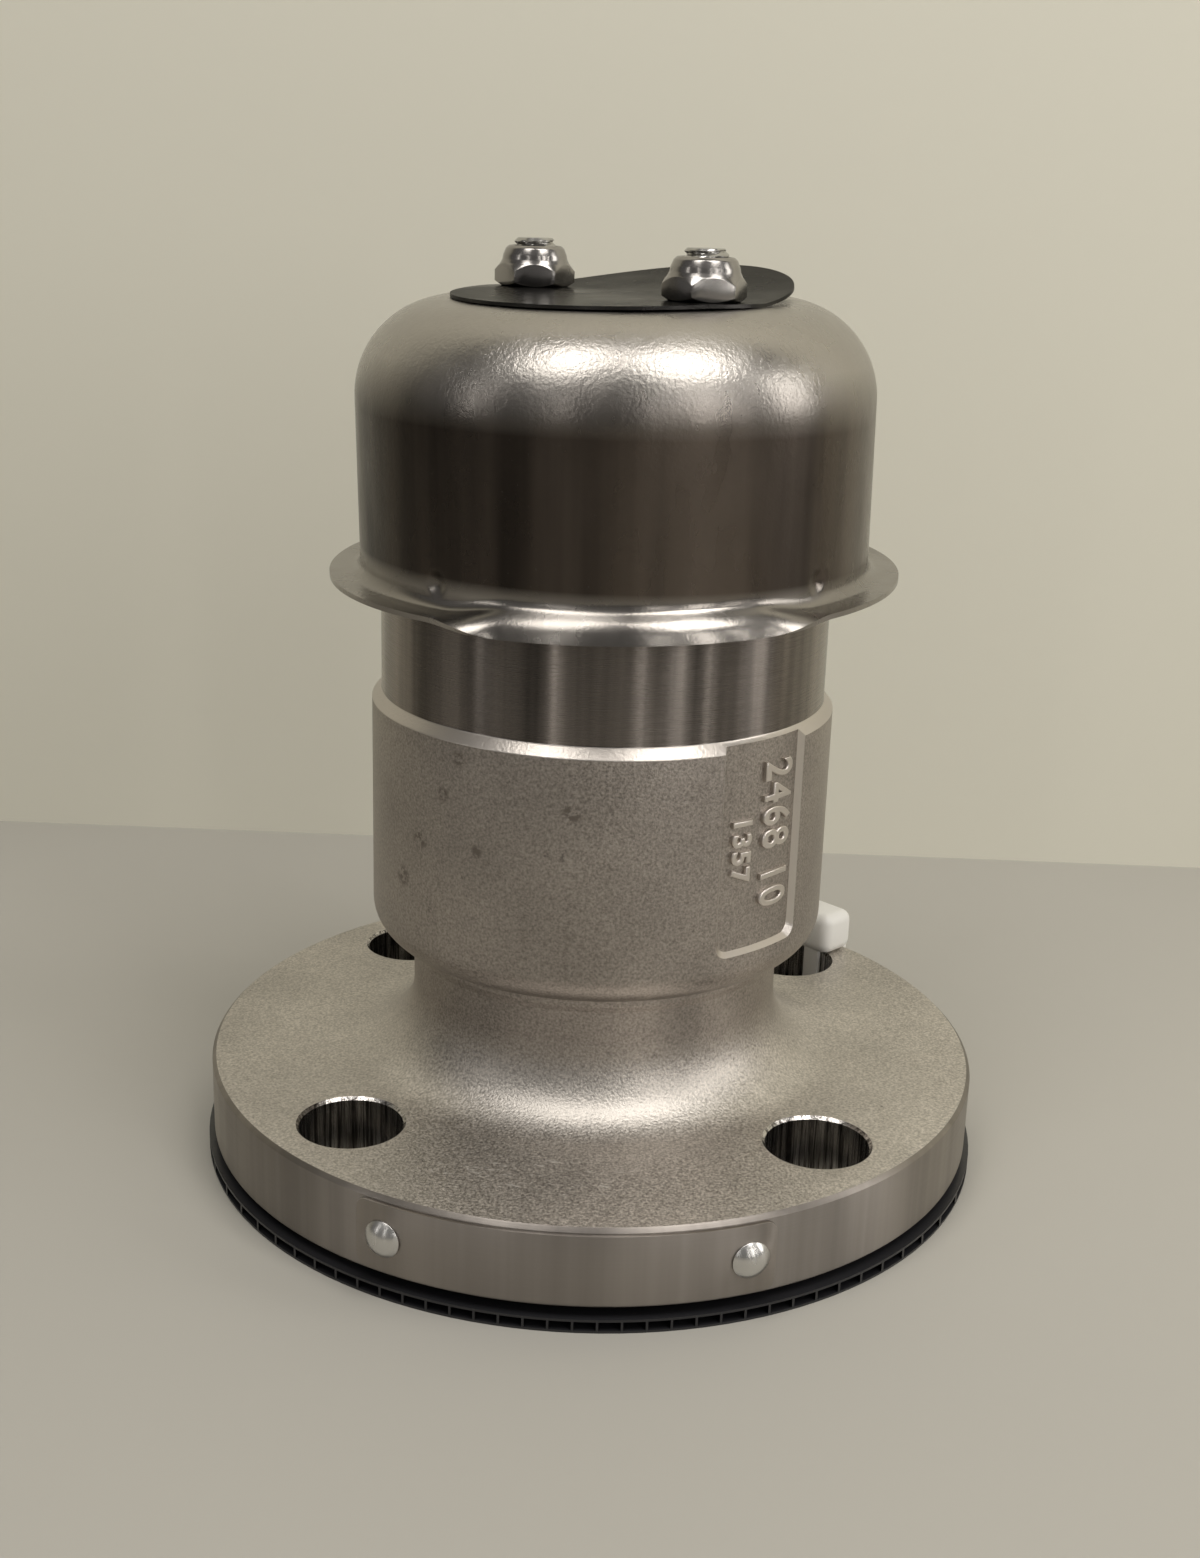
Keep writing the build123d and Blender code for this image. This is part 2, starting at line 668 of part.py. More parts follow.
def curl_arc(rise, thickness, side):
    """Start, middle and end of a curl that rises by this much at the disc's edge."""
    radius = (curl_reach ** 2 + rise ** 2) / (2 * rise)
    past_edge = 1.2 * curl_reach / radius
    return [(side * (flat_half + (radius - thickness) * sin(turn)),
             hood_top_z + radius - (radius - thickness) * cos(turn))
            for turn in (0, past_edge / 2, past_edge)]


with BuildPart() as cover_disc:
    with BuildSketch(section_plane(stud_azimuth + 90)):
        with BuildLine():
            back_low = curl_arc(cover_disc_rise_back, 0, 1)
            back_high = curl_arc(cover_disc_rise_back, cover_disc_thickness, 1)
            front_low = curl_arc(cover_disc_rise_front, 0, -1)
            front_high = curl_arc(cover_disc_rise_front, cover_disc_thickness, -1)
            Line(front_low[0], back_low[0])
            ThreePointArc(*back_low)
            Line(back_low[2], back_high[2])
            ThreePointArc(*back_high[::-1])
            Line(back_high[0], front_high[0])
            ThreePointArc(*front_high)
            Line(front_high[2], front_low[2])
            ThreePointArc(*front_low[::-1])
        make_face()
    extrude(amount=cover_disc_diameter, both=True)
    with BuildSketch(Plane.XY.offset(hood_top_z)):
        with Locations((cover_disc_offset, 0)):
            Circle(disc_cover_radius)
        with stud_places:
            Circle(stud_radius + assembly_clearance, mode=Mode.SUBTRACT)
    extrude(amount=hood_shoulder_radius, mode=Mode.INTERSECT)
keep(cover_disc, "cover_disc")

# Lock nuts: a hexagon with a deep top chamfer and a crimped collar round the insert
nut_corner_radius = lock_nut_across_flats / sqrt(3)
collar_base_z = cover_disc_top_z + lock_nut_hex_height
insert_radius = stud_radius + insert_width
insert_top_z = collar_base_z + insert_thickness
with BuildPart() as lock_nut:
    with BuildSketch(Plane.XY.offset(cover_disc_top_z)):
        RegularPolygon(nut_corner_radius, 6)
    extrude(amount=lock_nut_height)
    with BuildSketch(Plane.XZ):
        with BuildLine():
            Polyline((0, lock_nut_top_z), (0, cover_disc_top_z), (lock_nut_across_flats / 2 - 0.2, cover_disc_top_z),
                     (nut_corner_radius, cover_disc_top_z + 0.7),
                     (nut_corner_radius, cover_disc_top_z + 0.6 * lock_nut_hex_height),
                     (lock_nut_collar_diameter / 2 + 0.15, collar_base_z),
                     (lock_nut_collar_diameter / 2, collar_base_z + 0.2),
                     (lock_nut_crown_diameter / 2 + 0.3, lock_nut_top_z - 0.9))
            ThreePointArc((lock_nut_crown_diameter / 2 + 0.3, lock_nut_top_z - 0.9),
                          (lock_nut_crown_diameter / 2 - 0.05, lock_nut_top_z - 0.25),
                          (lock_nut_crown_diameter / 2 - 0.7, lock_nut_top_z))
            Line((lock_nut_crown_diameter / 2 - 0.7, lock_nut_top_z), (0, lock_nut_top_z))
        make_face()
    revolve(axis=Axis.Z, mode=Mode.INTERSECT)
    with BuildSketch(Plane.XZ):
        Polygon((0, cover_disc_top_z), (stud_radius, cover_disc_top_z), (stud_radius, collar_base_z),
                (insert_radius, collar_base_z), (insert_radius, insert_top_z),
                (stud_radius + assembly_clearance, insert_top_z),
                (stud_radius + assembly_clearance, lock_nut_top_z), (0, lock_nut_top_z), align=None)
    revolve(axis=Axis.Z, mode=Mode.SUBTRACT)
with BuildPart() as lock_nuts:
    for side, turn in zip((0, 180), lock_nut_turns):
        with PolarLocations(stud_circle_radius, 1, start_angle=stud_azimuth + side):
            add(lock_nut.part, rotation=(0, 0, turn))
keep(lock_nuts, "lock_nuts")
with BuildPart() as lock_nut_inserts:
    with BuildSketch(Plane.XY.offset(collar_base_z)):
        with stud_places:
            Circle(insert_radius)
            Circle(stud_radius, mode=Mode.SUBTRACT)
    extrude(amount=insert_thickness)
keep(lock_nut_inserts, "lock_nut_inserts")

# Stem: guided above its shoulder, threaded at both ends
cotter_pin_z = stem_nut_base_z - cotter_pin_drop
with BuildPart() as stem:
    with BuildSketch(Plane.XZ) as stem_section:
        Polygon(
            (0, stem_base_z),
            (stem_tail_radius, stem_base_z),
            (stem_tail_radius, retainer_top_z),
            (stem_shoulder_diameter / 2, retainer_top_z),
            (stem_shoulder_diameter / 2, retainer_top_z + stem_shoulder_height),
            (stem_radius, retainer_top_z + stem_shoulder_height),
            (stem_radius, stem_top_z),
            (0, stem_top_z),
            align=None,
        )
        stem_corners = stem_section.vertices()
        chamfer(nearest(stem_corners, stem_tail_radius, stem_base_z), 0.6)
        chamfer(nearest(stem_corners, stem_radius, stem_top_z), 0.8)
    revolve(axis=Axis.Z)
    with BuildSketch(Plane.YZ):
        with Locations((0, cotter_pin_z)):
            Circle(cotter_pin_diameter / 2)
    extrude(amount=stem_diameter, both=True, mode=Mode.SUBTRACT)
keep(stem, "stem")

# Valve disc with a recess for the seal, the seal and the plate that clamps it
with BuildPart() as valve_disc:
    with BuildSketch(Plane.XZ) as disc_section:
        Polygon(
            (stem_tail_radius, disc_hub_base_z),
            (disc_hub_diameter / 2, disc_hub_base_z),
            (disc_hub_diameter / 2, disc_base_z),
            (disc_diameter / 2, disc_base_z),
            (disc_diameter / 2, seal_base_z + disc_rim_height),
            (disc_diameter / 2 - disc_rim_width, seal_base_z + disc_rim_height),
            (disc_diameter / 2 - disc_rim_width, seal_base_z),
            (seal_bore_diameter / 2, seal_base_z),
            (seal_bore_diameter / 2, seat_z),
            (stem_tail_radius, seat_z),
            align=None,
        )
        disc_corners = disc_section.vertices()
        fillet(nearest(disc_corners, disc_hub_diameter / 2, disc_base_z), 2.0)
        fillet(nearest(disc_corners, disc_diameter / 2, disc_base_z), 1.0)
    revolve(axis=Axis.Z)
keep(valve_disc, "valve_disc")
ring("seal_ring", disc_diameter / 2 - disc_rim_width, seal_bore_diameter / 2, seal_base_z, seal_thickness)
with BuildPart() as seal_retainer:
    with BuildSketch(Plane.XY.offset(seat_z)):
        Circle(retainer_diameter / 2)
        Circle(stem_tail_radius, mode=Mode.SUBTRACT)
    extrude(amount=retainer_thickness)
    chamfer(seal_retainer.edges().group_by(Axis.Z)[-1].sort_by(SortBy.RADIUS)[-1], 0.8)
keep(seal_retainer, "seal_retainer")
ring("stem_lock_washer", stem_washer_diameter / 2, stem_tail_radius, stem_washer_base_z, stem_washer_thickness)
keep(hex_nut(stem_nut_across_flats, stem_tail_radius, stem_nut_base_z, stem_nut_thickness), "stem_nut")
with BuildPart() as cotter_pin:
    with BuildSketch(Plane.YZ.offset(-cotter_pin_length / 2)):
        with Locations((0, cotter_pin_z)):
            Circle(cotter_pin_diameter / 2 - running_clearance)
    extrude(amount=cotter_pin_length)
    with Locations((-cotter_pin_length / 2, 0, cotter_pin_z)):
        Torus(cotter_pin_diameter, cotter_pin_diameter / 2 - running_clearance)
keep(cotter_pin, "cotter_pin")

# Spring between its seat on the hub and the follower on the stem
ring("spring_seat", spring_seat_diameter / 2, stem_radius + 0.6, bushing_top_z, spring_seat_thickness)
wire_radius = spring_wire_diameter / 2
spring_rise = spring_fitted_length - spring_wire_diameter
with BuildPart() as spring:
    with BuildLine():
        coil = Helix(
            pitch=spring_rise / spring_turns,
            height=spring_rise,
            radius=spring_mean_diameter / 2,
            center=(0, 0, spring_base_z + wire_radius),
        )
    with BuildSketch(Plane(origin=coil @ 0, z_dir=coil % 0)):
        Circle(wire_radius)
    sweep(path=coil, is_frenet=True)
keep(spring, "spring")

# Follower with the sleeve that stops the valve at full lift
sleeve_base_z = spring_base_z + valve_lift
with BuildPart() as spring_follower:
    with BuildSketch(Plane.XZ):
        Polygon(
            (stem_radius, sleeve_base_z),
            (stop_sleeve_diameter / 2, sleeve_base_z),
            (stop_sleeve_diameter / 2, spring_top_z),
            (spring_seat_diameter / 2, spring_top_z),
            (spring_seat_diameter / 2, follower_top_z),
            (stem_radius, follower_top_z),
            align=None,
        )
    revolve(axis=Axis.Z)
keep(spring_follower, "spring_follower")
keep(hex_nut(stem_top_nut_across_flats, stem_radius, follower_top_z, adjusting_nut_thickness), "adjusting_nut")
keep(hex_nut(stem_top_nut_across_flats, stem_radius, adjusting_nut_top_z, check_nut_thickness), "check_nut")

print("flange top", flange_top_z, "seat", seat_z, "body top", body_top_z)
print("spring base", spring_base_z, "spring top", spring_top_z, "stem top", stem_top_z)
print("hood underside", hood_underside_z, "stud top", stud_top_z)
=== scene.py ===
# %% [markdown]
# # A vacuum relief valve, dressed for its photograph
# This lesson takes a valve that was drawn as exact solids and gives it the finish of the real one:
# blasted casting, turned rings, a polished hood and bright screws. Everything is in metres, and
# every piece stays in the place that the solids give it. The first cell loads those solids, which
# stay as they are.

# %% Load the solids
import bpy
from math import asin, atan2, cos, hypot, pi, radians, sin, sqrt
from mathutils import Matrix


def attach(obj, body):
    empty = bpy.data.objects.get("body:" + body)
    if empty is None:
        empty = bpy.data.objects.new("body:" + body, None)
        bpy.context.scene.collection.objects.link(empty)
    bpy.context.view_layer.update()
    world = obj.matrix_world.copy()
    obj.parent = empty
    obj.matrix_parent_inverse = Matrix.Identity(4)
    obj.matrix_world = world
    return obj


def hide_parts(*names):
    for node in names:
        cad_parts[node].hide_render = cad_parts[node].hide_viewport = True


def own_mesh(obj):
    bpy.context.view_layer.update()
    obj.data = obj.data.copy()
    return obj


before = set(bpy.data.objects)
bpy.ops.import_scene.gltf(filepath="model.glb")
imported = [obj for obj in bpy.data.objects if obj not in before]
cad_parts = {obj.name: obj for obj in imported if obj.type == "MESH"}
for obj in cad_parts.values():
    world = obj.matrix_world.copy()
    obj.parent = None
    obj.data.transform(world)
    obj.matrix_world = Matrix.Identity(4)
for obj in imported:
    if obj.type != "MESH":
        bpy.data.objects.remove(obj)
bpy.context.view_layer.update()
MM = 0.001

# %% [markdown]
# Sizes are easier to read in millimetres, so the helpers take millimetres and turn them into metres.
# The heights of the real valve are counted from the top of its flange, which is 19.2 mm above the
# face that the valve stands on.

# %% Heights shared by the pieces
flange_top = 19.2
flange_bottom = 4.2
flange_radius = 76.2
chamber_radius = 44.2
hood_top = flange_top + 145.9
stud_line = radians(313.0)
stud_distance = 23.1


def deselect():
    if bpy.context.object and bpy.context.object.mode != "OBJECT":
        bpy.ops.object.mode_set(mode="OBJECT")
    bpy.ops.object.select_all(action="DESELECT")


def only(piece):
    deselect()
    piece.select_set(True)
    bpy.context.view_layer.objects.active = piece
    return piece


def edit(piece):
    """Opens a piece's mesh with everything in it selected."""
    only(piece)
    bpy.ops.object.mode_set(mode="EDIT")
    bpy.ops.mesh.select_all(action="SELECT")


def close_mesh():
    """Turns the faces outwards and leaves the mesh."""
    bpy.ops.mesh.normals_make_consistent(inside=False)
    bpy.ops.object.mode_set(mode="OBJECT")


def place_in_mesh(piece):
    """Moves a piece's place, turn and size into its mesh, so that its object sits at the origin."""
    only(piece)
    bpy.ops.object.transform_apply(location=True, rotation=True, scale=True)
    return piece


deselect()

# %% [markdown]
# ## The camera
# The photograph was taken from close by, with a phone held a little above the valve. Three circles
# of the flange have known sizes, and from them the distance, the tilt and the focal length follow.
# A close camera makes the flange look large and the hood small, so it has to be right before any
# shape is judged.

# %% Camera
camera_data = bpy.data.cameras.new("photo_camera")
camera = bpy.data.objects.new("photo_camera", camera_data)
bpy.context.scene.collection.objects.link(camera)
bpy.context.scene.camera = camera
photo_height, focal_pixels = 1558, 1859.2
camera_data.sensor_width = 36.0
camera_data.lens = focal_pixels / photo_height * camera_data.sensor_width
camera_data.clip_start = 0.01
camera_pitch, camera_roll, camera_swing = -0.307, 0.031, 0.024
camera_distance, camera_height = 0.34736, 0.16434 + flange_top * MM


def camera_axes(swing, pitch, roll):
    """Right, up and forward of a camera that looks along +Y before it is tilted."""
    forward = (-sin(swing) * cos(pitch), cos(swing) * cos(pitch), sin(pitch))
    level = (cos(swing), sin(swing), 0.0)
    upright = (sin(swing) * sin(pitch), -cos(swing) * sin(pitch), cos(pitch))
    right = [cos(roll) * a + sin(roll) * b for a, b in zip(level, upright)]
    up = [-sin(roll) * a + cos(roll) * b for a, b in zip(level, upright)]
    return right, up, forward


right, up, forward = camera_axes(camera_swing, camera_pitch, camera_roll)
camera.matrix_world = (
    (right[0], right[1], right[2], 0), (up[0], up[1], up[2], 0),
    (-forward[0], -forward[1], -forward[2], 0),
    (camera_distance * sin(camera_swing), -camera_distance * cos(camera_swing), camera_height, 1))
print("camera at", [round(v, 4) for v in camera.location], "lens", round(camera_data.lens, 2))

# %% [markdown]
# ## The studio
# The valve stands on a pale floor in front of a pale wall, which shows in the photograph as close
# behind it. A wall so near would hide the valve from a camera behind it, so both planes let
# everything through that comes from their back. The floor reaches far to the front, because
# upright steel mirrors what lies before it.

# %% Pale floor and wall
def tree(material):
    return material.node_tree.nodes, material.node_tree.links


def plain_material(name, color, roughness=0.5, metallic=0.0):
    material = bpy.data.materials.new(name)
    material.use_nodes = True
    shader = material.node_tree.nodes["Principled BSDF"]
    shader.inputs["Base Color"].default_value = (*color, 1.0)
    shader.inputs["Roughness"].default_value = roughness
    shader.inputs["Metallic"].default_value = metallic
    return material


def stage_plane(name, width, depth, place, turn, color, roughness):
    bpy.ops.mesh.primitive_plane_add(size=1, location=place, rotation=(turn, 0, 0))
    plane = bpy.context.object
    plane.name = name
    plane.scale = (width, depth, 1)
    place_in_mesh(plane)
    material = plain_material(name, color, roughness)
    nodes, links = tree(material)
    side = nodes.new("ShaderNodeNewGeometry")
    clear = nodes.new("ShaderNodeBsdfTransparent")
    mix = nodes.new("ShaderNodeMixShader")
    links.new(side.outputs["Backfacing"], mix.inputs[0])
    links.new(nodes["Principled BSDF"].outputs["BSDF"], mix.inputs[1])
    links.new(clear.outputs["BSDF"], mix.inputs[2])
    links.new(mix.outputs["Shader"], nodes["Material Output"].inputs["Surface"])
    plane.data.materials.append(material)
    return plane


wall_distance, wall_height = 0.168, 2.2
stage_plane("pale_floor", 6.0, 7.0, (0, 0, 0), 0, (0.43, 0.415, 0.373), 0.55)
stage_plane("pale_wall", 6.0, wall_height, (0, wall_distance, wall_height / 2), pi / 2,
            (0.71, 0.69, 0.59), 0.8)

# %% [markdown]
# Two soft boxes above light the valve, the right one a little more. Turned steel spreads a
# reflection upwards and downwards, so narrow tall boxes around the front draw the upright streaks
# that tell brushed steel from grey paint. The dim grey of the world fills the rest.

# %% Soft boxes and world
bpy.context.scene.view_settings.view_transform = "Standard"


def soft_box(name, place, target, width, height, power, color=(1.0, 0.97, 0.93)):
    light = bpy.data.lights.new(name, "AREA")
    light.shape = "RECTANGLE"
    light.size, light.size_y = width, height
    light.energy = power
    light.color = color
    lamp = bpy.data.objects.new(name, light)
    bpy.context.scene.collection.objects.link(lamp)
    aim = [t - p for p, t in zip(place, target)]
    lamp.location = place
    lamp.rotation_euler = (atan2(hypot(aim[0], aim[1]), -aim[2]), 0, atan2(-aim[0], aim[1]))
    return lamp


soft_box("left_ceiling_box", (-0.24, -0.32, 0.95), (0, 0, 0.08), 0.3, 0.5, 2.7)
soft_box("right_ceiling_box", (0.34, -0.32, 0.95), (0, 0, 0.08), 0.4, 0.5, 3.9)
box_distance, box_height = 0.9, 0.42
tall_boxes = ((-150, 0.05, 0.35), (-112, 0.03, 0.3), (-70, 0.03, 0.35), (-52, 0.12, 0.9), (-36, 0.03, 0.4),
              (-8, 0.22, 1.8))
for azimuth, width, power in tall_boxes:
    place = (box_distance * cos(radians(azimuth)), box_distance * sin(radians(azimuth)), box_height)
    soft_box("tall_box", place, (0, 0, 0.09), width, 0.6, power)
world = bpy.data.worlds.new("dim_room")
bpy.context.scene.world = world
world.use_nodes = True
room = world.node_tree.nodes["Background"]
room.inputs["Color"].default_value = (0.33, 0.32, 0.31, 1)
room.inputs["Strength"].default_value = 0.45

# %% [markdown]
# ## Finishes
# A finish is a small graph of nodes. Each function below adds one kind of node and returns it, so
# that a material reads as a recipe: a base colour, a grain that moves the roughness, and a bump
# that breaks up the reflections.

# %% Helpers for material recipes
def vector_step(material, operation, where, amount, result="Vector"):
    nodes, links = tree(material)
    step = nodes.new("ShaderNodeVectorMath")
    step.operation = operation
    step.inputs[1].default_value = amount
    links.new(where, step.inputs[0])
    return step.outputs[result]


def recipe(name, color, roughness, metallic=1.0, **sockets):
    """A material with its shader and the object's own coordinates in millimetres."""
    material = plain_material(name, color, roughness, metallic)
    nodes = tree(material)[0]
    shader = nodes["Principled BSDF"]
    for socket, value in sockets.items():
        shader.inputs[socket.replace("_", " ")].default_value = value
    coordinates = nodes.new("ShaderNodeTexCoord")
    where = vector_step(material, "MULTIPLY", coordinates.outputs["Object"], (1000, 1000, 1000))
    return material, shader, where


def noise(material, where, scale, detail=3.0, roughness=0.55, stretch=(1, 1, 1)):
    """Noise whose grains are about 1/scale millimetres across."""
    nodes, links = tree(material)
    texture = nodes.new("ShaderNodeTexNoise")
    texture.inputs["Scale"].default_value = scale
    texture.inputs["Detail"].default_value = detail
    texture.inputs["Roughness"].default_value = roughness
    links.new(vector_step(material, "MULTIPLY", where, stretch), texture.inputs["Vector"])
    return texture.outputs["Fac"]


def ramp(material, value, low, high, start=0.0, end=1.0):
    """Maps a value from low..high to start..end and holds it at both ends."""
    nodes, links = tree(material)
    mapped = nodes.new("ShaderNodeMapRange")
    mapped.clamp = True
    for socket, number in (("From Min", low), ("From Max", high), ("To Min", start), ("To Max", end)):
        mapped.inputs[socket].default_value = number
    links.new(value, mapped.inputs["Value"])
    return mapped.outputs["Result"]


def blend_color(material, share, first, second):
    """A colour between two colours or colour outputs."""
    nodes, links = tree(material)
    mix = nodes.new("ShaderNodeMix")
    mix.data_type = "RGBA"
    for socket, color in ((mix.inputs[6], first), (mix.inputs[7], second)):
        if hasattr(color, "is_output"):
            links.new(color, socket)
        else:
            socket.default_value = (*color, 1.0)
    links.new(share, mix.inputs[0])
    return mix.outputs[2]


def product(material, first, second):
    nodes, links = tree(material)
    step = nodes.new("ShaderNodeMath")
    step.operation = "MULTIPLY"
    links.new(first, step.inputs[0])
    links.new(second, step.inputs[1])
    return step.outputs[0]


def shade(color, share):
    return tuple(min(1.0, part * share) for part in color)


def bump(material, height, strength, distance, below=None):
    """Turns a height into small dents; distance is in millimetres."""
    nodes, links = tree(material)
    dents = nodes.new("ShaderNodeBump")
    dents.inputs["Strength"].default_value = strength
    dents.inputs["Distance"].default_value = distance * MM
    links.new(height, dents.inputs["Height"])
    if below is not None:
        links.new(below, dents.inputs["Normal"])
    return dents.outputs["Normal"]


# %% [markdown]
# The casting was blasted with grit, which leaves a dull even grain. Three noises darken its colour
# one after the other: a slow one for the cloudy tone that handling leaves, a fine one for the
# grain, and a thresholded one for pits. Under them the colour goes from the light flange to the
# darker chamber over the height of the flare, so that no edge shows between them. That step is
# painted light: the flange and the flare face up to the lamps, and the casting has one finish.

# %% Blasted casting
def height_share(material, where, low, high):
    """0 below one height and 1 above the other, in millimetres."""
    nodes, links = tree(material)
    parts = nodes.new("ShaderNodeSeparateXYZ")
    links.new(where, parts.inputs[0])
    return ramp(material, parts.outputs["Z"], low, high)


def darkened(material, color, share):
    """A colour output multiplied by a share."""
    nodes, links = tree(material)
    mix = nodes.new("ShaderNodeMix")
    mix.data_type, mix.blend_type = "RGBA", "MULTIPLY"
    mix.inputs[0].default_value = 1.0
    links.new(color, mix.inputs[6])
    links.new(share, mix.inputs[7])
    return mix.outputs[2]


def blasted_finish(name, lit_flange_color, color, roughness):
    material, shader, where = recipe(name, color, roughness)
    links = tree(material)[1]
    # Painted light: the flange and the flare face up to the lamps, so they get a lighter colour than the
    # upright chamber of the same casting.
    tone = blend_color(material, height_share(material, where, flange_top + 1, flange_top + 15),
                       lit_flange_color, color)
    grit = noise(material, where, 2.1, 2.0, 0.6)
    for share in (ramp(material, noise(material, where, 0.045, 3.0, 0.5), 0.35, 0.65, 0.9, 1.08),
                  ramp(material, grit, 0.3, 0.68, 0.66, 1.24),
                  ramp(material, noise(material, where, 0.13, 6.0, 0.85), 0.62, 0.69, 1.0, 0.6)):
        tone = darkened(material, tone, share)
    links.new(tone, shader.inputs["Base Color"])
    dull = ramp(material, grit, 0.3, 0.7, roughness - 0.08, roughness + 0.1)
    links.new(dull, shader.inputs["Roughness"])
    links.new(bump(material, grit, 0.6, 0.16), shader.inputs["Normal"])
    return material, shader, where, tone


casting_finish, casting_shader, casting_place, casting_tone = blasted_finish(
    "blasted_casting", (0.6, 0.565, 0.52), (0.37, 0.335, 0.302), 0.43)

# %% [markdown]
# Handling has left marks. Near the front edge of the flange something pale has rubbed off in a few
# short strokes, and the chamber has some dark smudges. Both are noise that is cut off at a
# threshold and kept inside small oval patches.

# %% Scuffs and smudges
def patch(material, where, middle, size):
    """1 at the middle of an oval patch and 0 outside it, in millimetres."""
    moved = vector_step(material, "SUBTRACT", where, middle)
    scaled = vector_step(material, "DIVIDE", moved, size)
    length = vector_step(material, "LENGTH", scaled, (0, 0, 0), "Value")
    return ramp(material, length, 0.5, 1.0, 1.0, 0.0)


strokes = noise(casting_finish, casting_place, 0.55, 3.0, 0.7, stretch=(0.45, 1.3, 1))
rubbed = product(casting_finish, ramp(casting_finish, strokes, 0.6, 0.66),
                 patch(casting_finish, casting_place, (-10, -60, flange_top), (26, 10, 4)))
marked = blend_color(casting_finish, rubbed, casting_tone, (0.9, 0.88, 0.84))
smudges = ((-94.7, 80.9, 2.4), (-135.5, 70.6, 2.4), (-122.7, 87.9, 1.9),
           (-127.5, 80.6, 1.7), (-117.7, 71.4, 1.5), (-142.7, 61.9, 2.6))
smear = ramp(casting_finish, noise(casting_finish, casting_place, 0.8, 3.0, 0.7), 0.44, 0.56)
for smudge_azimuth, smudge_height, smudge_size in smudges:
    smudge_middle = (chamber_radius * cos(radians(smudge_azimuth)),
                     chamber_radius * sin(radians(smudge_azimuth)), smudge_height)
    dark = product(casting_finish, smear,
                   patch(casting_finish, casting_place, smudge_middle, [smudge_size] * 3))
    marked = blend_color(casting_finish, dark, marked, (0.2, 0.175, 0.155))
casting_finish.node_tree.links.new(marked, casting_shader.inputs["Base Color"])

# %% [markdown]
# Edges that hands and tools have rubbed are brighter than the blasted faces beside them. The same
# bright colour on the turned ledge is a painted highlight, as the ledge faces up to the lamps.
# Turned faces carry fine rings from the lathe. A reflection on them is drawn out across the rings,
# which the shader's anisotropy gives. The tangent runs around the axis, as the tool did, and the
# quarter turn of the anisotropy lays the highlight across it. Slow noise that doesn't change with
# the height paints soft upright streaks into the colour: a painted reflection.

# %% Turned steel and worn edges
# The light colour here is wear on the panel's edges and figures, and a painted highlight on the ledge.
wear_and_sheen_finish, wear_and_sheen_shader, wear_and_sheen_place = recipe("worn_edges_and_lit_ledge", (0.62, 0.575, 0.53), 0.34)
wear_and_sheen_grain = noise(wear_and_sheen_finish, wear_and_sheen_place, 1.6, 3.0, 0.6)
wear_and_sheen_finish.node_tree.links.new(bump(wear_and_sheen_finish, wear_and_sheen_grain, 0.5, 0.12), wear_and_sheen_shader.inputs["Normal"])


def turned_recipe(name, color, roughness, anisotropy):
    """A recipe whose tangent runs around the axis."""
    material, shader, where = recipe(name, color, roughness, Anisotropic=anisotropy,
                                     Anisotropic_Rotation=0.25)
    nodes, links = tree(material)
    around = nodes.new("ShaderNodeTangent")
    around.direction_type, around.axis = "RADIAL", "Z"
    links.new(around.outputs["Tangent"], shader.inputs["Tangent"])
    return material, shader, where


def turned_finish(name, color, roughness, anisotropy=0.6, ring_strength=0.25, painted_streak=0.0):
    material, shader, where = turned_recipe(name, color, roughness, anisotropy)
    links = tree(material)[1]
    rings = noise(material, where, 1.0, 4.0, 0.7, stretch=(0.02, 0.02, 9.0))
    links.new(bump(material, rings, ring_strength, 0.02), shader.inputs["Normal"])
    ringed = ramp(material, rings, 0.3, 0.7, roughness - 0.05, roughness + 0.07)
    links.new(ringed, shader.inputs["Roughness"])
    if painted_streak:
        # Painted reflection: upright streaks of lighter and darker colour stand in for reflections drawn
        # out on turned steel.
        upright = noise(material, where, 0.1, 4.0, 0.6, stretch=(1, 1, 0.02))
        tone = blend_color(material, ramp(material, upright, 0.38, 0.62), shade(color, 1 - painted_streak),
                           shade(color, 1 + 0.3 * painted_streak))
        links.new(tone, shader.inputs["Base Color"])
    return material


# Painted reflection: strong upright streaks in the register's colour and weaker ones in the rim's.
register_finish = turned_finish("turned_register", (0.25, 0.222, 0.2), 0.26, 0.95, 0.08, 0.6)
rim_finish = turned_finish("turned_rim", (0.33, 0.302, 0.276), 0.42, 0.85, 0.2, 0.2)

# %% [markdown]
# A drill leaves upright scratches in its bore. Noise that doesn't change with the height draws them
# in the bump and paints the colour in upright lines from near black to bright: painted glints and
# painted shade.

# %% Drilled bores
bore_finish, bore_shader, bore_place = recipe("drilled_bore", (0.5, 0.47, 0.44), 0.22)
bore_lines = noise(bore_finish, bore_place, 1.1, 4.0, 0.8, stretch=(1, 1, 0.03))
# Painted glints and painted shade: the bore's colour runs in upright lines from near black to bright.
bore_glint_and_shade_tone = blend_color(bore_finish, ramp(bore_finish, bore_lines, 0.42, 0.6),
                        (0.1, 0.09, 0.085), (0.8, 0.77, 0.73))
bore_finish.node_tree.links.new(bore_glint_and_shade_tone, bore_shader.inputs["Base Color"])
bore_finish.node_tree.links.new(bump(bore_finish, bore_lines, 0.6, 0.1), bore_shader.inputs["Normal"])

# %% [markdown]
# The hood was drawn and polished by hand. Its shoulder is stretched into a fine orange peel, which
# breaks the lamps up into a mottled band. Its colour is painted light and painted reflection: the
# shoulder is lighter, the lip has a mid tone, and the wall is much darker with soft upright streaks.
# The lip is smoother and shinier, so the peel is weaker there. Dust and small marks are dark specks.

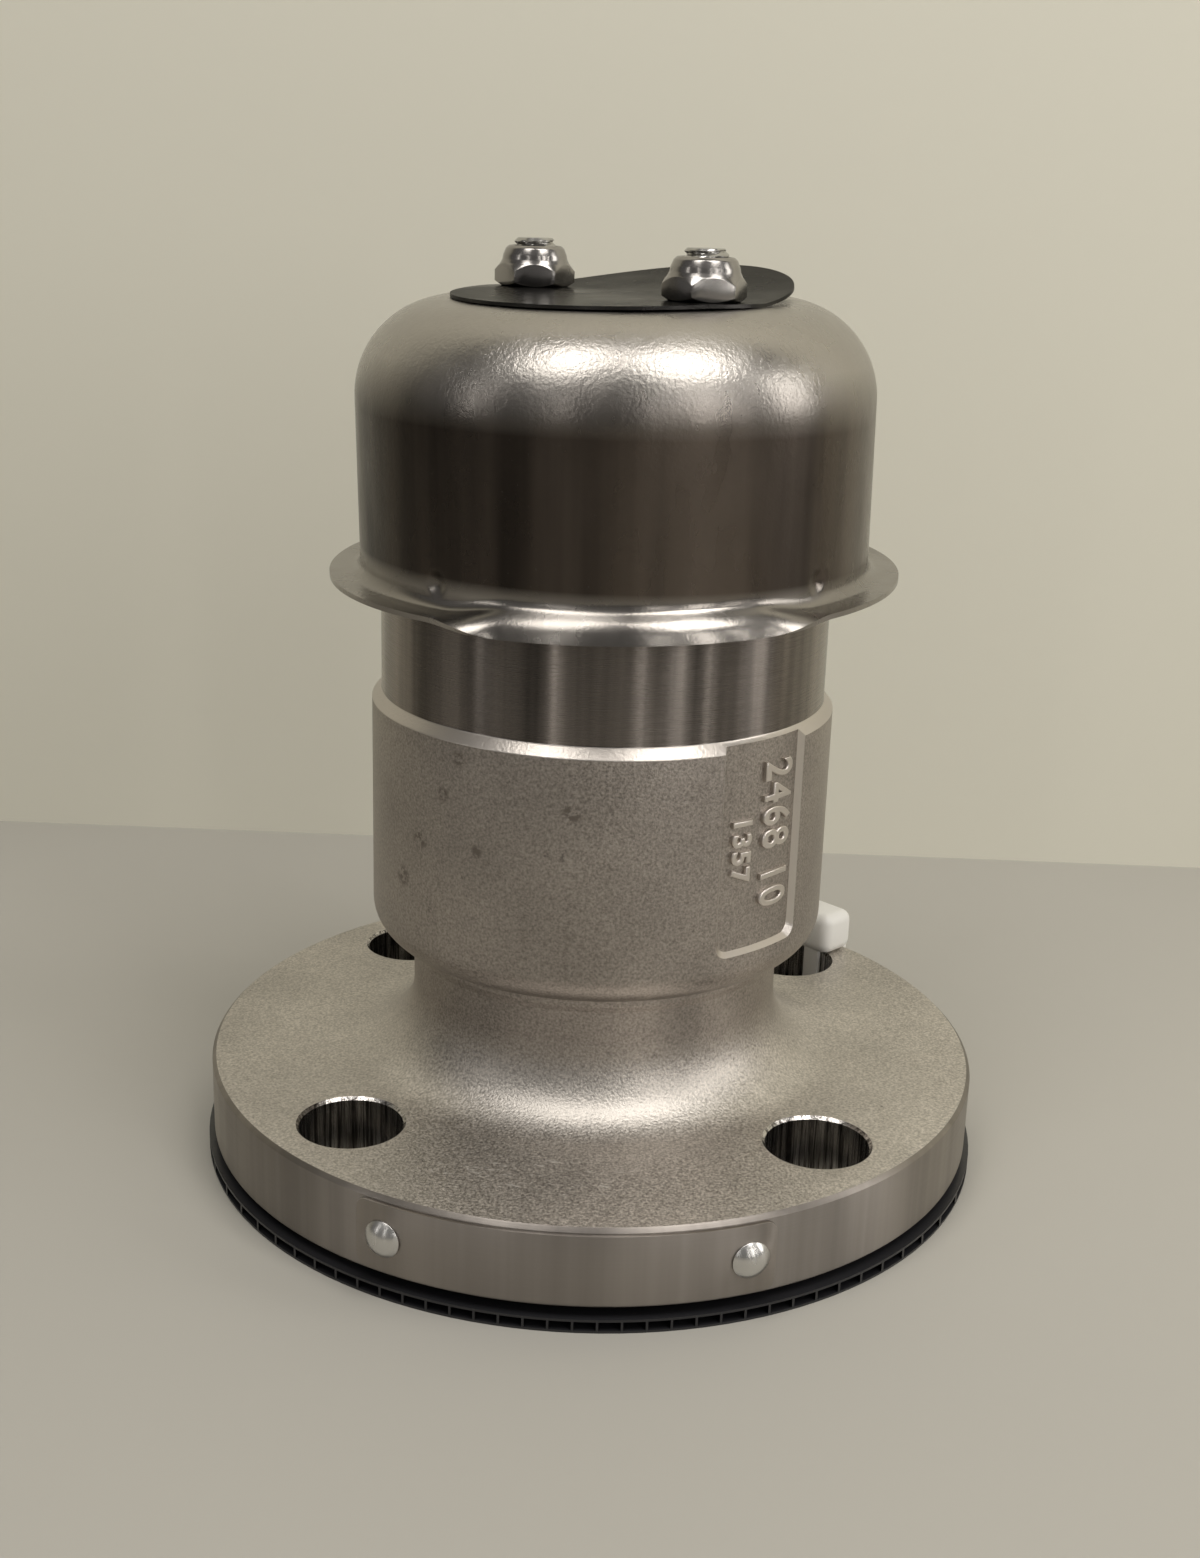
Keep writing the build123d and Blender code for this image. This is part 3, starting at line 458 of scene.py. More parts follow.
# %% Drawn hood sheet
hood_finish, hood_shader, hood_place = turned_recipe("drawn_hood_sheet", (0.3, 0.275, 0.255), 0.3, 0.3)
hood_links = tree(hood_finish)[1]
upper = height_share(hood_finish, hood_place, flange_top + 126, flange_top + 136)
flare = height_share(hood_finish, hood_place, flange_top + 98.5, flange_top + 101)
slow_streaks = noise(hood_finish, hood_place, 0.06, 4.0, 0.5, stretch=(1, 1, 0.04))
# Painted reflection: the dark wall and its soft upright streaks stand in for what the polished wall
# mirrors.
painted_wall_streaks = ramp(hood_finish, slow_streaks, 0.36, 0.64)
painted_wall_reflection_tone = blend_color(hood_finish, painted_wall_streaks, (0.03, 0.025, 0.022), (0.125, 0.103, 0.086))
# Painted light: the shoulder that faces the ceiling lamps is lighter, and the lip has a mid tone of its
# own.
hood_painted_light_tone = blend_color(hood_finish, upper, painted_wall_reflection_tone, (0.42, 0.395, 0.365))
hood_painted_light_tone = blend_color(hood_finish, flare, (0.3, 0.28, 0.257), hood_painted_light_tone)
specks = ramp(hood_finish, noise(hood_finish, hood_place, 0.9, 5.0, 0.75), 0.66, 0.72)
specked = blend_color(hood_finish, specks, hood_painted_light_tone, (0.12, 0.11, 0.1))
hood_links.new(specked, hood_shader.inputs["Base Color"])
smears = noise(hood_finish, hood_place, 0.07, 4.0, 0.65, stretch=(1, 1, 0.5))
hood_gloss = product(hood_finish, ramp(hood_finish, smears, 0.35, 0.68, 0.24, 0.38),
                     ramp(hood_finish, flare, 0.0, 1.0, 0.85, 1.0))
hood_links.new(hood_gloss, hood_shader.inputs["Roughness"])
coarse_peel = noise(hood_finish, hood_place, 0.28, 4.0, 0.6)
fine_peel = noise(hood_finish, hood_place, 1.3, 3.0, 0.65)
calm_lip = ramp(hood_finish, flare, 0.0, 1.0, 0.25, 1.0)
coarse_dents = bump(hood_finish, product(hood_finish, coarse_peel, calm_lip), 0.25, 0.2)
peel_depth = product(hood_finish, fine_peel, ramp(hood_finish, upper, 0.0, 1.0, 0.25, 1.0))
hood_links.new(bump(hood_finish, peel_depth, 0.6, 0.17, coarse_dents), hood_shader.inputs["Normal"])

# %% [markdown]
# The cover disc and the bright screws are smooth metal with faint smears and dust, and differ only
# in colour and gloss. The disc is dark even where it is seen at a flat angle, so the tint of its
# edge reflection is lowered too.

# %% Dark disc and bright screws
def polished_finish(name, color, roughness, peel=0.25):
    material, shader, where = recipe(name, color, roughness)
    links = tree(material)[1]
    orange_peel = noise(material, where, 0.55, 3.0, 0.5)
    smears = noise(material, where, 0.05, 4.0, 0.6, stretch=(1, 1, 0.5))
    dust = noise(material, where, 1.7, 4.0, 0.7)
    smeared = ramp(material, smears, 0.35, 0.7, roughness - 0.05, roughness + 0.1)
    links.new(smeared, shader.inputs["Roughness"])
    specks = ramp(material, dust, 0.68, 0.74)
    tone = blend_color(material, specks, color, shade(color, 0.5))
    links.new(tone, shader.inputs["Base Color"])
    links.new(bump(material, orange_peel, peel, 0.08), shader.inputs["Normal"])
    return material


disc_finish = polished_finish("dark_cover_disc", (0.07, 0.068, 0.066), 0.24, 0.15)
disc_shader = disc_finish.node_tree.nodes["Principled BSDF"]
disc_shader.inputs["Specular Tint"].default_value = (0.45, 0.45, 0.45, 1)
screw_finish = polished_finish("bright_screws", (0.45, 0.44, 0.42), 0.2, 0.05)
nut_finish = polished_finish("plated_lock_nuts", (0.33, 0.315, 0.3), 0.19, 0.15)
dome_finish = polished_finish("domed_screw_heads", (0.62, 0.61, 0.59), 0.3, 0.2)
machined_finish = turned_finish("machined_inner_parts", (0.58, 0.565, 0.54), 0.32, 0.5)
# Painted reflection: faint upright streaks in the nameplate's colour.
plate_finish = turned_finish("brushed_nameplate", (0.33, 0.3, 0.273), 0.4, 0.8, 0.2, 0.15)

# %% [markdown]
# The black sheet, the white tie, the bushing, the nut inserts and the seals are plastic or rubber.
# One recipe with a faint grain serves them all.

# %% Plastics and seals
def plastic_finish(name, color, roughness, bumps=0.1):
    material, shader, where = recipe(name, color, roughness, metallic=0.0)
    links = tree(material)[1]
    grain = noise(material, where, 1.5, 3.0)
    links.new(bump(material, grain, bumps, 0.05), shader.inputs["Normal"])
    grained = ramp(material, grain, 0.3, 0.7, roughness - 0.06, roughness + 0.08)
    links.new(grained, shader.inputs["Roughness"])
    return material


sheet_plastic = plastic_finish("black_twin_wall_sheet", (0.018, 0.018, 0.02), 0.34)
tie_plastic = plastic_finish("white_tie_nylon", (0.8, 0.79, 0.75), 0.4)
bushing_plastic = plastic_finish("bushing_fluoropolymer", (0.82, 0.81, 0.77), 0.4)
insert_plastic = plastic_finish("insert_nylon", (0.6, 0.59, 0.55), 0.45)
seal_rubber = plastic_finish("seal_rubber", (0.03, 0.03, 0.03), 0.6)
gasket_sheet = plastic_finish("gasket_sheet", (0.07, 0.07, 0.07), 0.75)

# %% [markdown]
# Every solid gets a first coat. The pieces that are modelled again further down replace their
# solids, and the others, which are inside or already have the right shape, keep it.

# %% First coat on every solid
node_finishes = {
    "valve_body": casting_finish, "flange_protector": sheet_plastic, "nameplate": plate_finish,
    "drive_screws": screw_finish, "seat_gasket": gasket_sheet, "seat_ring": machined_finish,
    "guide_spider": machined_finish, "spider_washers": screw_finish, "spider_screws": screw_finish,
    "guide_bushing": bushing_plastic, "hood_studs": screw_finish, "hood_support_nuts": screw_finish,
    "hood_support_washers": screw_finish, "hood": hood_finish, "cover_disc": disc_finish,
    "lock_nuts": screw_finish, "lock_nut_inserts": insert_plastic, "stem": machined_finish,
    "valve_disc": machined_finish, "seal_ring": seal_rubber, "seal_retainer": machined_finish,
    "stem_lock_washer": screw_finish, "stem_nut": screw_finish, "cotter_pin": screw_finish,
    "spring_seat": machined_finish, "spring": screw_finish, "spring_follower": machined_finish,
    "adjusting_nut": screw_finish, "check_nut": screw_finish,
}
for node, finish in node_finishes.items():
    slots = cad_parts[node].material_slots
    for slot in slots:
        slot.material = finish
print("coated", len(node_finishes), "nodes")

# %% [markdown]
# ## How a turned piece is drawn
# Most of this valve was turned on a lathe, so most pieces are modelled as a lathe makes them. One
# corner of the outline is extruded to the next until the outline is closed, and the spin operator
# then sweeps it round the axis. Drawing the outline first is easier than cutting a cylinder,
# because every step and groove can be read off as a radius and a height. Corners that carry a
# rounding are replaced by a short arc before the outline is drawn.

# %% Outline with rounded corners
def rounded(corners, fine=5):
    """Corners are (radius, height) or (radius, height, rounding). Gives the outline's points."""
    points = []
    last = len(corners) - 1
    for i, corner in enumerate(corners):
        x, z = corner[:2]
        size = corner[2] if len(corner) > 2 else 0
        if not size or i in (0, last):
            points.append((x, z))
            continue
        (ax, az), (bx, bz) = corners[i - 1][:2], corners[i + 1][:2]
        before = ((ax - x) / hypot(ax - x, az - z), (az - z) / hypot(ax - x, az - z))
        after = ((bx - x) / hypot(bx - x, bz - z), (bz - z) / hypot(bx - x, bz - z))
        half = sqrt(max(0.0, (1 + before[0] * after[0] + before[1] * after[1]) / 2))
        sine = sqrt(1 - half * half)
        middle = (before[0] + after[0], before[1] + after[1])
        length = hypot(*middle)
        centre = (x + middle[0] / length * size / sine, z + middle[1] / length * size / sine)
        touch = size * half / sine
        start = atan2(z + before[1] * touch - centre[1], x + before[0] * touch - centre[0])
        end = atan2(z + after[1] * touch - centre[1], x + after[0] * touch - centre[0])
        turn = (end - start + pi) % (2 * pi) - pi
        steps = max(2, round(fine * abs(turn) * 2 / pi * max(1.0, size ** 0.5)))
        points += [(centre[0] + size * cos(start + turn * k / steps),
                    centre[1] + size * sin(start + turn * k / steps)) for k in range(steps + 1)]
    return points


def drawn_outline(name, points):
    """One corner is extruded to the next, in the XZ plane."""
    deselect()
    bpy.ops.mesh.primitive_plane_add(size=MM, location=(0, 0, 0))
    piece = bpy.context.object
    piece.name = name
    edit(piece)
    bpy.ops.mesh.merge(type="CENTER")
    bpy.ops.mesh.select_mode(type="VERT")
    bpy.ops.mesh.select_all(action="SELECT")
    bpy.ops.transform.translate(value=(points[0][0] * MM, 0, points[0][1] * MM))
    for (ax, az), (bx, bz) in zip(points, points[1:]):
        step = ((bx - ax) * MM, 0, (bz - az) * MM)
        bpy.ops.mesh.extrude_region_move(TRANSFORM_OT_translate={"value": step})
    bpy.ops.object.mode_set(mode="OBJECT")
    return piece


def turned(name, corners, steps=192, fine=5):
    """A solid of revolution from its outline in millimetres."""
    piece = drawn_outline(name, rounded(corners, fine))
    edit(piece)
    bpy.ops.mesh.spin(steps=steps, angle=2 * pi, center=(0, 0, 0), axis=(0, 0, 1))
    bpy.ops.mesh.select_all(action="SELECT")
    bpy.ops.mesh.remove_doubles(threshold=0.002 * MM)
    close_mesh()
    return piece


def smooth(piece, angle):
    only(piece)
    bpy.ops.object.shade_smooth_by_angle(angle=radians(angle))
    return piece


def cut(piece, cutter, operation="DIFFERENCE"):
    """Cuts one piece with another and throws the cutter away."""
    only(piece)
    modifier = piece.modifiers.new("cut", "BOOLEAN")
    modifier.operation = operation
    modifier.solver = "EXACT"
    modifier.object = cutter
    bpy.ops.object.modifier_apply(modifier="cut")
    bpy.data.objects.remove(cutter)
    return piece


def copy_of(piece, name, turn=0.0, move=(0, 0, 0)):
    """A copy with its own mesh, turned round Z and moved, its place kept in its mesh."""
    only(piece)
    bpy.ops.object.duplicate()
    twin = bpy.context.object
    twin.name = name
    twin.rotation_euler = (0, 0, turn)
    twin.location = [v * MM for v in move]
    return place_in_mesh(twin)


def joined(pieces, name):
    only(pieces[0])
    for piece in pieces:
        piece.select_set(True)
    if len(pieces) > 1:
        bpy.ops.object.join()
    bpy.context.object.name = name
    return bpy.context.object


def coated(piece, finish, angle):
    """Gives a piece its finish and smooths the edges below an angle in degrees."""
    piece.data.materials.append(finish)
    return smooth(piece, angle)


def finished(piece, node, body="housing"):
    """Puts a dressed piece on its body, in place of a solid."""
    place_in_mesh(piece)
    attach(piece, body)
    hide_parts(node)
    print(piece.name, "stands for", node, "with", len(piece.data.polygons), "faces")
    return piece


# %% [markdown]
# ## The body casting
# Flange, neck and chamber are one casting. It was blasted all over, and then turned where it has
# to be true: the flange's rim and face, the ledge and the narrow band above it that the hood
# clears. The outline runs once round the wall, outside and inside.

# %% Body outline, heights from the top of the flange
port_radius, face_radius, neck_radius, collar_radius = 26.25, 46.05, 36.2, 36.9
register_radius = 42.4
body_outline = [
    (port_radius, -16.1), (port_radius + 0.5, -16.6), (face_radius, -16.6, 0.2), (face_radius, -15.0),
    (flange_radius, -15.0, 0.5), (flange_radius, -0.75, 0.12), (flange_radius - 0.75, 0.0, 0.12),
    (neck_radius, 0.0, 13.0), (neck_radius, 20.8, 1.2),
    (collar_radius, 22.2, 0.9), (collar_radius, 24.3, 0.6), (chamber_radius, 24.3, 6.7),
    (chamber_radius, 71.5, 0.3), (register_radius, 73.3, 0.7), (register_radius, 93.0, 0.2),
    (register_radius - 1, 94.0, 0.2), (33.5, 94.0), (33.5, 87.0), (31.0, 87.0), (31.0, 85.0), (36.0, 80.0),
    (36.0, 34.0, 6.0), (port_radius, 20.0), (port_radius, -16.1)]
cast_body = turned("cast_body", [(c[0], c[1] + flange_top, *c[2:]) for c in body_outline], steps=240)
print("turned body", len(cast_body.data.polygons), "faces")

# %% [markdown]
# The bolt holes are drilled through the flange. One cutter has the drill's width and a short cone
# on top, which leaves the bright chamfer round each mouth. It is copied to four places on the bolt
# circle, and the copies are cut out in one step.

# %% Bolt holes
hole_radius, bolt_circle_radius = 9.525, 60.325
drill = turned("drill", [
    (0, flange_bottom - 2), (hole_radius, flange_bottom - 2), (hole_radius, flange_top - 0.55),
    (hole_radius + 1.55, flange_top + 1.0), (0, flange_top + 1.0)], steps=72)
drills = [copy_of(drill, "drill_copy", 0, (bolt_circle_radius * cos(a), bolt_circle_radius * sin(a), 0))
          for a in (radians(45 + 90 * k) for k in range(4))]
bpy.data.objects.remove(drill)
cut(cast_body, joined(drills, "four_drills"))

# %% [markdown]
# Two pieces are easier to make flat: the cutter of the panel in the chamber's wall, and the
# nameplate. A flat plate is cut in strips and then wrapped round the axis, so that what was its
# width becomes an angle.

# %% Wrapping a flat plate round the axis
def wrapped(piece, radius, azimuth):
    """x becomes the way round at this radius, y the depth inwards and z stays the height."""
    for vertex in piece.data.vertices:
        x, y, z = vertex.co
        angle = azimuth + x / (radius * MM)
        distance = radius * MM - y
        vertex.co = (distance * cos(angle), distance * sin(angle), z)
    piece.data.update()
    return piece


def flat_plate(name, width, height, corner, low_only=False, strip=1.2):
    """An upright plate in the XZ plane with rounded corners, cut in strips that can be wrapped."""
    deselect()
    bpy.ops.mesh.primitive_plane_add(size=1, rotation=(pi / 2, 0, 0))
    plate = bpy.context.object
    plate.name = name
    plate.scale = (width * MM, height * MM, 1)
    place_in_mesh(plate)
    for vertex in plate.data.vertices:
        vertex.select = not (low_only and vertex.co.z > 0)
    bpy.ops.object.mode_set(mode="EDIT")
    bpy.ops.mesh.select_mode(type="VERT")
    bpy.ops.mesh.bevel(offset=corner * MM, segments=7, affect="VERTICES", profile=0.5)
    strips = round(width / strip)
    for k in range(1, strips):
        bpy.ops.mesh.select_all(action="SELECT")
        bpy.ops.mesh.bisect(plane_co=((k / strips - 0.5) * width * MM, 0, 0), plane_no=(1, 0, 0))
    bpy.ops.object.mode_set(mode="OBJECT")
    return plate


# %% [markdown]
# The chamber's wall has a shallow panel, where the foundry's pattern carried its loose figures. The
# edge of its cutter is drawn wider at the front for the draft.

# %% Recessed panel
panel_azimuth, panel_width, panel_depth = radians(314.3), 18.7, 1.1
panel_low, panel_high, panel_draft = flange_top + 33.6, flange_top + 74.6, 3.4
panel = flat_plate("panel_cutter", panel_width, panel_high - panel_low, 2.2, low_only=True)
edit(panel)
bpy.ops.mesh.extrude_region_move(TRANSFORM_OT_translate={"value": (0, -2.4 * MM, 0)})
bpy.ops.transform.resize(
    value=(1 + panel_draft / panel_width, 1, 1 + panel_draft / (panel_high - panel_low)),
    center_override=(0, 0, 0))
bpy.ops.object.mode_set(mode="OBJECT")
panel.location = (0, 0, (panel_low + panel_high) / 2 * MM)
place_in_mesh(panel)
wrapped(panel, chamber_radius - panel_depth, panel_azimuth)
edit(panel)
close_mesh()
cut(cast_body, panel)
print("body after its cuts", len(cast_body.data.polygons), "faces")

# %% [markdown]
# The foundry's loose figures stand up from the panel's floor in two columns, turned on their sides.
# Plain numerals fill the same space. Text is typed flat with a small bevel, made a mesh, stood up
# against the panel and wrapped round the chamber as the panel's cutter was. A Boolean would leave
# slivers at the bevels, so the figures stay shells of their own that are sunk into the floor.

# %% Raised numerals
def raised_numerals(name, digits, size, squeeze, across, height):
    deselect()
    bpy.ops.object.text_add(location=(0, 0, 0))
    typed = bpy.context.object
    typed.name = name
    typed.data.body = digits
    typed.data.size = size * MM
    typed.data.align_x, typed.data.align_y = "CENTER", "CENTER"
    typed.data.space_character = 1.15
    typed.data.extrude = 0.5 * MM
    typed.data.bevel_depth = 0.28 * MM
    typed.data.bevel_resolution = 2
    typed.data.resolution_u = 5
    bpy.ops.object.convert(target="MESH")
    typed.scale = (squeeze, 1, 1)
    typed.rotation_euler = (pi / 2, pi / 2, 0)
    typed.location = (across * MM, 0, height * MM)
    place_in_mesh(typed)
    return wrapped(typed, chamber_radius - panel_depth, panel_azimuth)


numerals = joined([raised_numerals("large_numerals", "2468 10", 10.0, 0.75, 2.9, flange_top + 54.5),
                   raised_numerals("small_numerals", "1357", 5.6, 1.0, -5.5, flange_top + 53.0)],
                  "panel_numerals")
coated(numerals, wear_and_sheen_finish, 40)
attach(numerals, "housing")

# %% [markdown]
# Each zone of the casting gets its own finish, chosen by where a face lies: bright where the lathe
# ran and on the rubbed edges of the panel, dull where the grit hit. The ledge gets the bright colour
# of the rubbed edges as a painted highlight. A face belongs to a bolt hole when it lies close to
# that hole's axis.

# %% Finish by zone
body_finishes = [casting_finish, wear_and_sheen_finish, rim_finish, register_finish, bore_finish]
for finish in body_finishes:
    cast_body.data.materials.append(finish)
blasted, wear_and_sheen, rim, register, bore = range(len(body_finishes))
panel_floor, panel_band_low = chamber_radius - panel_depth, 31.5
ledge_low, ledge_high = 71.4, 73.35
inner_wall, face_low = 35.9, -14.9


def body_zone(face):
    x, y, z = face.center / MM
    radius, height = hypot(x, y), z - flange_top
    for k in range(4):
        a = radians(45 + 90 * k)
        from_hole = hypot(x - bolt_circle_radius * cos(a), y - bolt_circle_radius * sin(a))
        if from_hole < hole_radius + 0.6 and -15.2 < height < -0.001:
            return bore
    if radius > flange_radius - 0.8 and height < -0.01:
        return rim
    # Painted highlight: the ledge is turned like the band above it, but it faces up to the lamps and gets
    # the bright colour.
    if ledge_low < height < ledge_high and radius > register_radius - 0.4:
        return wear_and_sheen
    if height > ledge_low or radius < inner_wall or height < face_low:
        return register
    on_edge = panel_floor + 0.02 < radius < chamber_radius - 0.02
    if height > panel_band_low and on_edge and face.normal.z < 0.99:
        return wear_and_sheen
    return blasted


for face in cast_body.data.polygons:
    face.material_index = body_zone(face)
smooth(cast_body, 30)
finished(cast_body, "valve_body")

# %% [markdown]
# ## The weather hood
# The hood is drawn from one sheet, so it is modelled as the sheet's middle surface and thickened at
# the end. A turned cup comes first. Its skirt is then folded out: over each ear it turns by a
# quarter, and between the ears it only leans out as a lip. The turn goes from one to the other with
# a smooth step, which is what gives the real rim its double curve. Towards its edge the lip turns
# down again, so that it ends in a soft bead.

# %% Hood sheet
sheet, hood_middle = 0.9, 47.15
rim_join, wall_rows, skirt_rows, row_height = 105.0, 14, 34, 0.45
rim_length, bend_radius = 7.6, 2.5
hood_turn, ear_half, lip_half = 5.5, 49.5, 25.0
ear_start, lip_start = 99.15, 100.6
ear_fold, lip_fold = radians(90.0), radians(52.0)
bead_start, bead_droop = 3.4, radians(42.0)


def rim_point(azimuth, row):
    """Radius and height of the sheet's middle, a number of rows below the plain wall."""
    from_ear = abs((azimuth * 180 / pi - hood_turn + 90) % 180 - 90)
    share = min(max((from_ear - ear_half) / (90 - ear_half - lip_half), 0), 1)
    ear = 1 - share * share * (3 - 2 * share)
    fold = lip_fold + ear * (ear_fold - lip_fold)
    start = lip_start + ear * (ear_start - lip_start)
    if row <= wall_rows:
        return hood_middle, rim_join + (start - rim_join) * row / wall_rows
    along = rim_length * (row - wall_rows) / (skirt_rows - wall_rows)
    steps = max(1, round(along / 0.2))
    distance, height = hood_middle, start
    for step in range(steps):
        walked = along * (step + 0.5) / steps
        bead = min(max((walked - bead_start) / (rim_length - bead_start), 0), 1)
        slope = min(walked / bend_radius, fold) - (1 - ear) * bead_droop * bead
        distance += along / steps * sin(slope)
        height -= along / steps * cos(slope)
    return distance, height


hood_outline = [(r, hood_top - sheet / 2) for r in (0, 8, 16, 24)]
hood_outline += [(hood_middle, hood_top - sheet / 2, 16.8)]
hood_outline += [(hood_middle, flange_top + height) for height in (120, 112, 107)]
hood_outline += [(hood_middle, flange_top + rim_join - row_height * k) for k in range(skirt_rows + 1)]
drawn_hood = turned("drawn_hood", hood_outline, steps=540, fine=6)

dimple_angle, dimple_height, dimple_reach, dimple_depth = 46.6, 101.4, 2.6, 0.6
for vertex in drawn_hood.data.vertices:
    x, y, z = [v / MM for v in vertex.co]
    row = (flange_top + rim_join - z) / row_height
    if row < -8:
        continue
    azimuth = atan2(y, x)
    distance, height = rim_point(azimuth, row) if row > 0 else (hood_middle, z - flange_top)
    for side in (-1, 1):
        turn = (azimuth * 180 / pi - hood_turn - side * dimple_angle + 90) % 180 - 90
        near = hypot(radians(turn) * hood_middle, height - dimple_height) / dimple_reach
        if near < 1:
            distance -= dimple_depth * (1 - near ** 2) ** 1.5
    vertex.co = (distance * cos(azimuth) * MM, distance * sin(azimuth) * MM, (height + flange_top) * MM)
drawn_hood.data.update()


def thickened(piece, thickness, offset=0.0):
    only(piece)
    bpy.ops.object.modifier_add(type="SOLIDIFY")
    modifier = piece.modifiers[-1]
    modifier.thickness = thickness * MM
    modifier.offset = offset
    modifier.use_even_offset = True
    bpy.ops.object.modifier_apply(modifier=modifier.name)
    return piece


thickened(drawn_hood, sheet)

# %% [markdown]
# The real hood doesn't stand quite level on its studs: it leans a little to the left and the front.
# The same small turn is given here, about a point under the top.

# %% Stud holes and lean of the hood
stud_places = [(stud_distance * cos(stud_line + side), stud_distance * sin(stud_line + side))
               for side in (0, pi)]


def stud_drills(radius, low, high):
    drill = turned("drill", [(0, low), (radius, low), (radius, high), (0, high)], steps=48)
    pair = [copy_of(drill, "drill_copy", 0, (x, y, 0)) for x, y in stud_places]
    bpy.data.objects.remove(drill)
    return joined(pair, "stud_drills")


cut(drawn_hood, stud_drills(4.4, hood_top - 3, hood_top + 2))
hood_lean, hood_nod = radians(1.2), radians(1.5)
pivot = (0, 0, (flange_top + 120) * MM)
edit(drawn_hood)
bpy.ops.transform.rotate(value=hood_lean, orient_axis="Y", orient_type="GLOBAL", center_override=pivot)
bpy.ops.transform.rotate(value=-hood_nod, orient_axis="X", orient_type="GLOBAL", center_override=pivot)
bpy.ops.transform.translate(value=(0.85 * MM, 0, -0.1 * MM))
bpy.ops.object.mode_set(mode="OBJECT")
coated(drawn_hood, hood_finish, 40)
finished(drawn_hood, "hood")

# %% [markdown]
# ## The cover disc
# A thin dark disc lies under the nuts. It stays flat along the line of the studs, rises behind that
# line and dips a little in front of it.

# %% Cover disc
disc_shift, disc_radius, disc_sheet, flat_half = 1.2, 31, 0.6, 6.5
disc_middle = hood_top + disc_sheet / 2
cover = turned("curled_cover_disc", [(r, disc_middle) for r in range(disc_radius + 1)], steps=160)
for vertex in cover.data.vertices:
    x, y = vertex.co.x / MM + disc_shift, vertex.co.y / MM
    across = -x * sin(stud_line) + y * cos(stud_line)
    rise = 0.0
    if across > flat_half:
        rise = 0.12 * (across - flat_half) + 0.0028 * (across - flat_half) ** 2
    elif across < -flat_half:
        rise = 0.035 * (across + flat_half)
    vertex.co = (x * MM, y * MM, (disc_middle + rise) * MM)
cover.data.update()
thickened(cover, disc_sheet)
cut(cover, stud_drills(4.07, hood_top - 3, hood_top + 6))
coated(cover, disc_finish, 40)
finished(cover, "cover_disc")

# %% [markdown]
# ## Studs and lock nuts
# A thread is a ridge that climbs by one pitch per turn. The stud is turned with many thin rows, and
# each vertex is then moved in or out according to its height and its direction, which leaves a true
# helix on a closed solid.

# %% Threaded studs
pitch, major, minor = 1.411, 3.96, 3.3
stud_low, stud_high = flange_top + 94.5, 174.5


def threaded(name, low, high, major, minor, pitch, chamfer=0.7, rows=8, steps=48):
    count = round((high - low) / pitch * rows)
    heights = [low + (high - low) * k / count for k in range(count + 1)]
    rod = turned(name, [(0, low)] + [(major, z) for z in heights] + [(0, high)], steps=steps)
    for vertex in rod.data.vertices:
        x, y, z = [v / MM for v in vertex.co]
        radius = hypot(x, y)
        if radius < 0.1:
            continue
        climb = (z / pitch - atan2(y, x) / (2 * pi)) % 1
        ridge = min(max(abs(2 * climb - 1) * 1.5 - 0.25, 0), 1)
        new = min(minor + (major - minor) * ridge, major - chamfer + min(z - low, high - z))
        vertex.co = (x * new / radius * MM, y * new / radius * MM, z * MM)
    rod.data.update()
    return rod


stud = threaded("threaded_stud", stud_low, stud_high, major, minor, pitch)
studs = joined([copy_of(stud, "stud_copy", turn, (x, y, 0))
                for turn, (x, y) in zip((0.4, 2.1), stud_places)], "threaded_studs")
bpy.data.objects.remove(stud)
coated(studs, screw_finish, 40)
finished(studs, "hood_studs")

# %% [markdown]
# The nut is a hexagon that is cut by a turned blank, so that the blank's cone draws the arcs on the
# six flats.

# %% Lock nuts
nut_base = hood_top + disc_sheet
nut_corner = 13.1 / sqrt(3)


def hexagon(name, corner_radius, low, high):
    deselect()
    bpy.ops.mesh.primitive_cylinder_add(vertices=6, radius=corner_radius * MM, depth=(high - low) * MM,
                                        location=(0, 0, (high + low) / 2 * MM), rotation=(0, 0, pi / 2))
    prism = bpy.context.object
    prism.name = name
    return place_in_mesh(prism)


def rounded_edges(piece, width, angle=25, segments=2):
    only(piece)
    bpy.ops.object.modifier_add(type="BEVEL")
    modifier = piece.modifiers[-1]
    modifier.width = width * MM
    modifier.segments = segments
    modifier.limit_method = "ANGLE"
    modifier.angle_limit = radians(angle)
    bpy.ops.object.modifier_apply(modifier=modifier.name)
    return piece


blank = turned("nut_blank", [
    (3.97, nut_base), (6.2, nut_base), (7.6, nut_base + 0.9), (7.6, nut_base + 2.8),
    (6.5, nut_base + 4.2, 0.3), (6.15, nut_base + 4.9, 0.3), (6.0, nut_base + 5.7, 0.5),
    (5.5, nut_base + 6.9, 0.6), (4.9, nut_base + 7.4, 0.3), (4.45, nut_base + 7.4),
    (4.45, nut_base + 6.5), (4.97, nut_base + 6.5), (4.97, nut_base + 4.8), (3.97, nut_base + 4.8),
    (3.97, nut_base)], steps=96, fine=6)
lock_nut = cut(hexagon("lock_nut", nut_corner, nut_base - 1, nut_base + 9), blank, "INTERSECT")
rounded_edges(lock_nut, 0.08)
nuts = joined([copy_of(lock_nut, "nut_copy", radians(turn), (x, y, 0))
               for turn, (x, y) in zip((12.4, 3.9), stud_places)], "crimped_lock_nuts")
bpy.data.objects.remove(lock_nut)
coated(nuts, nut_finish, 28)
finished(nuts, "lock_nuts")

# %% [markdown]
# ## Nameplate and drive screws
# The plate is cut flat, given its thickness and its soft edges, and then wrapped round the rim. It
# stays bare.

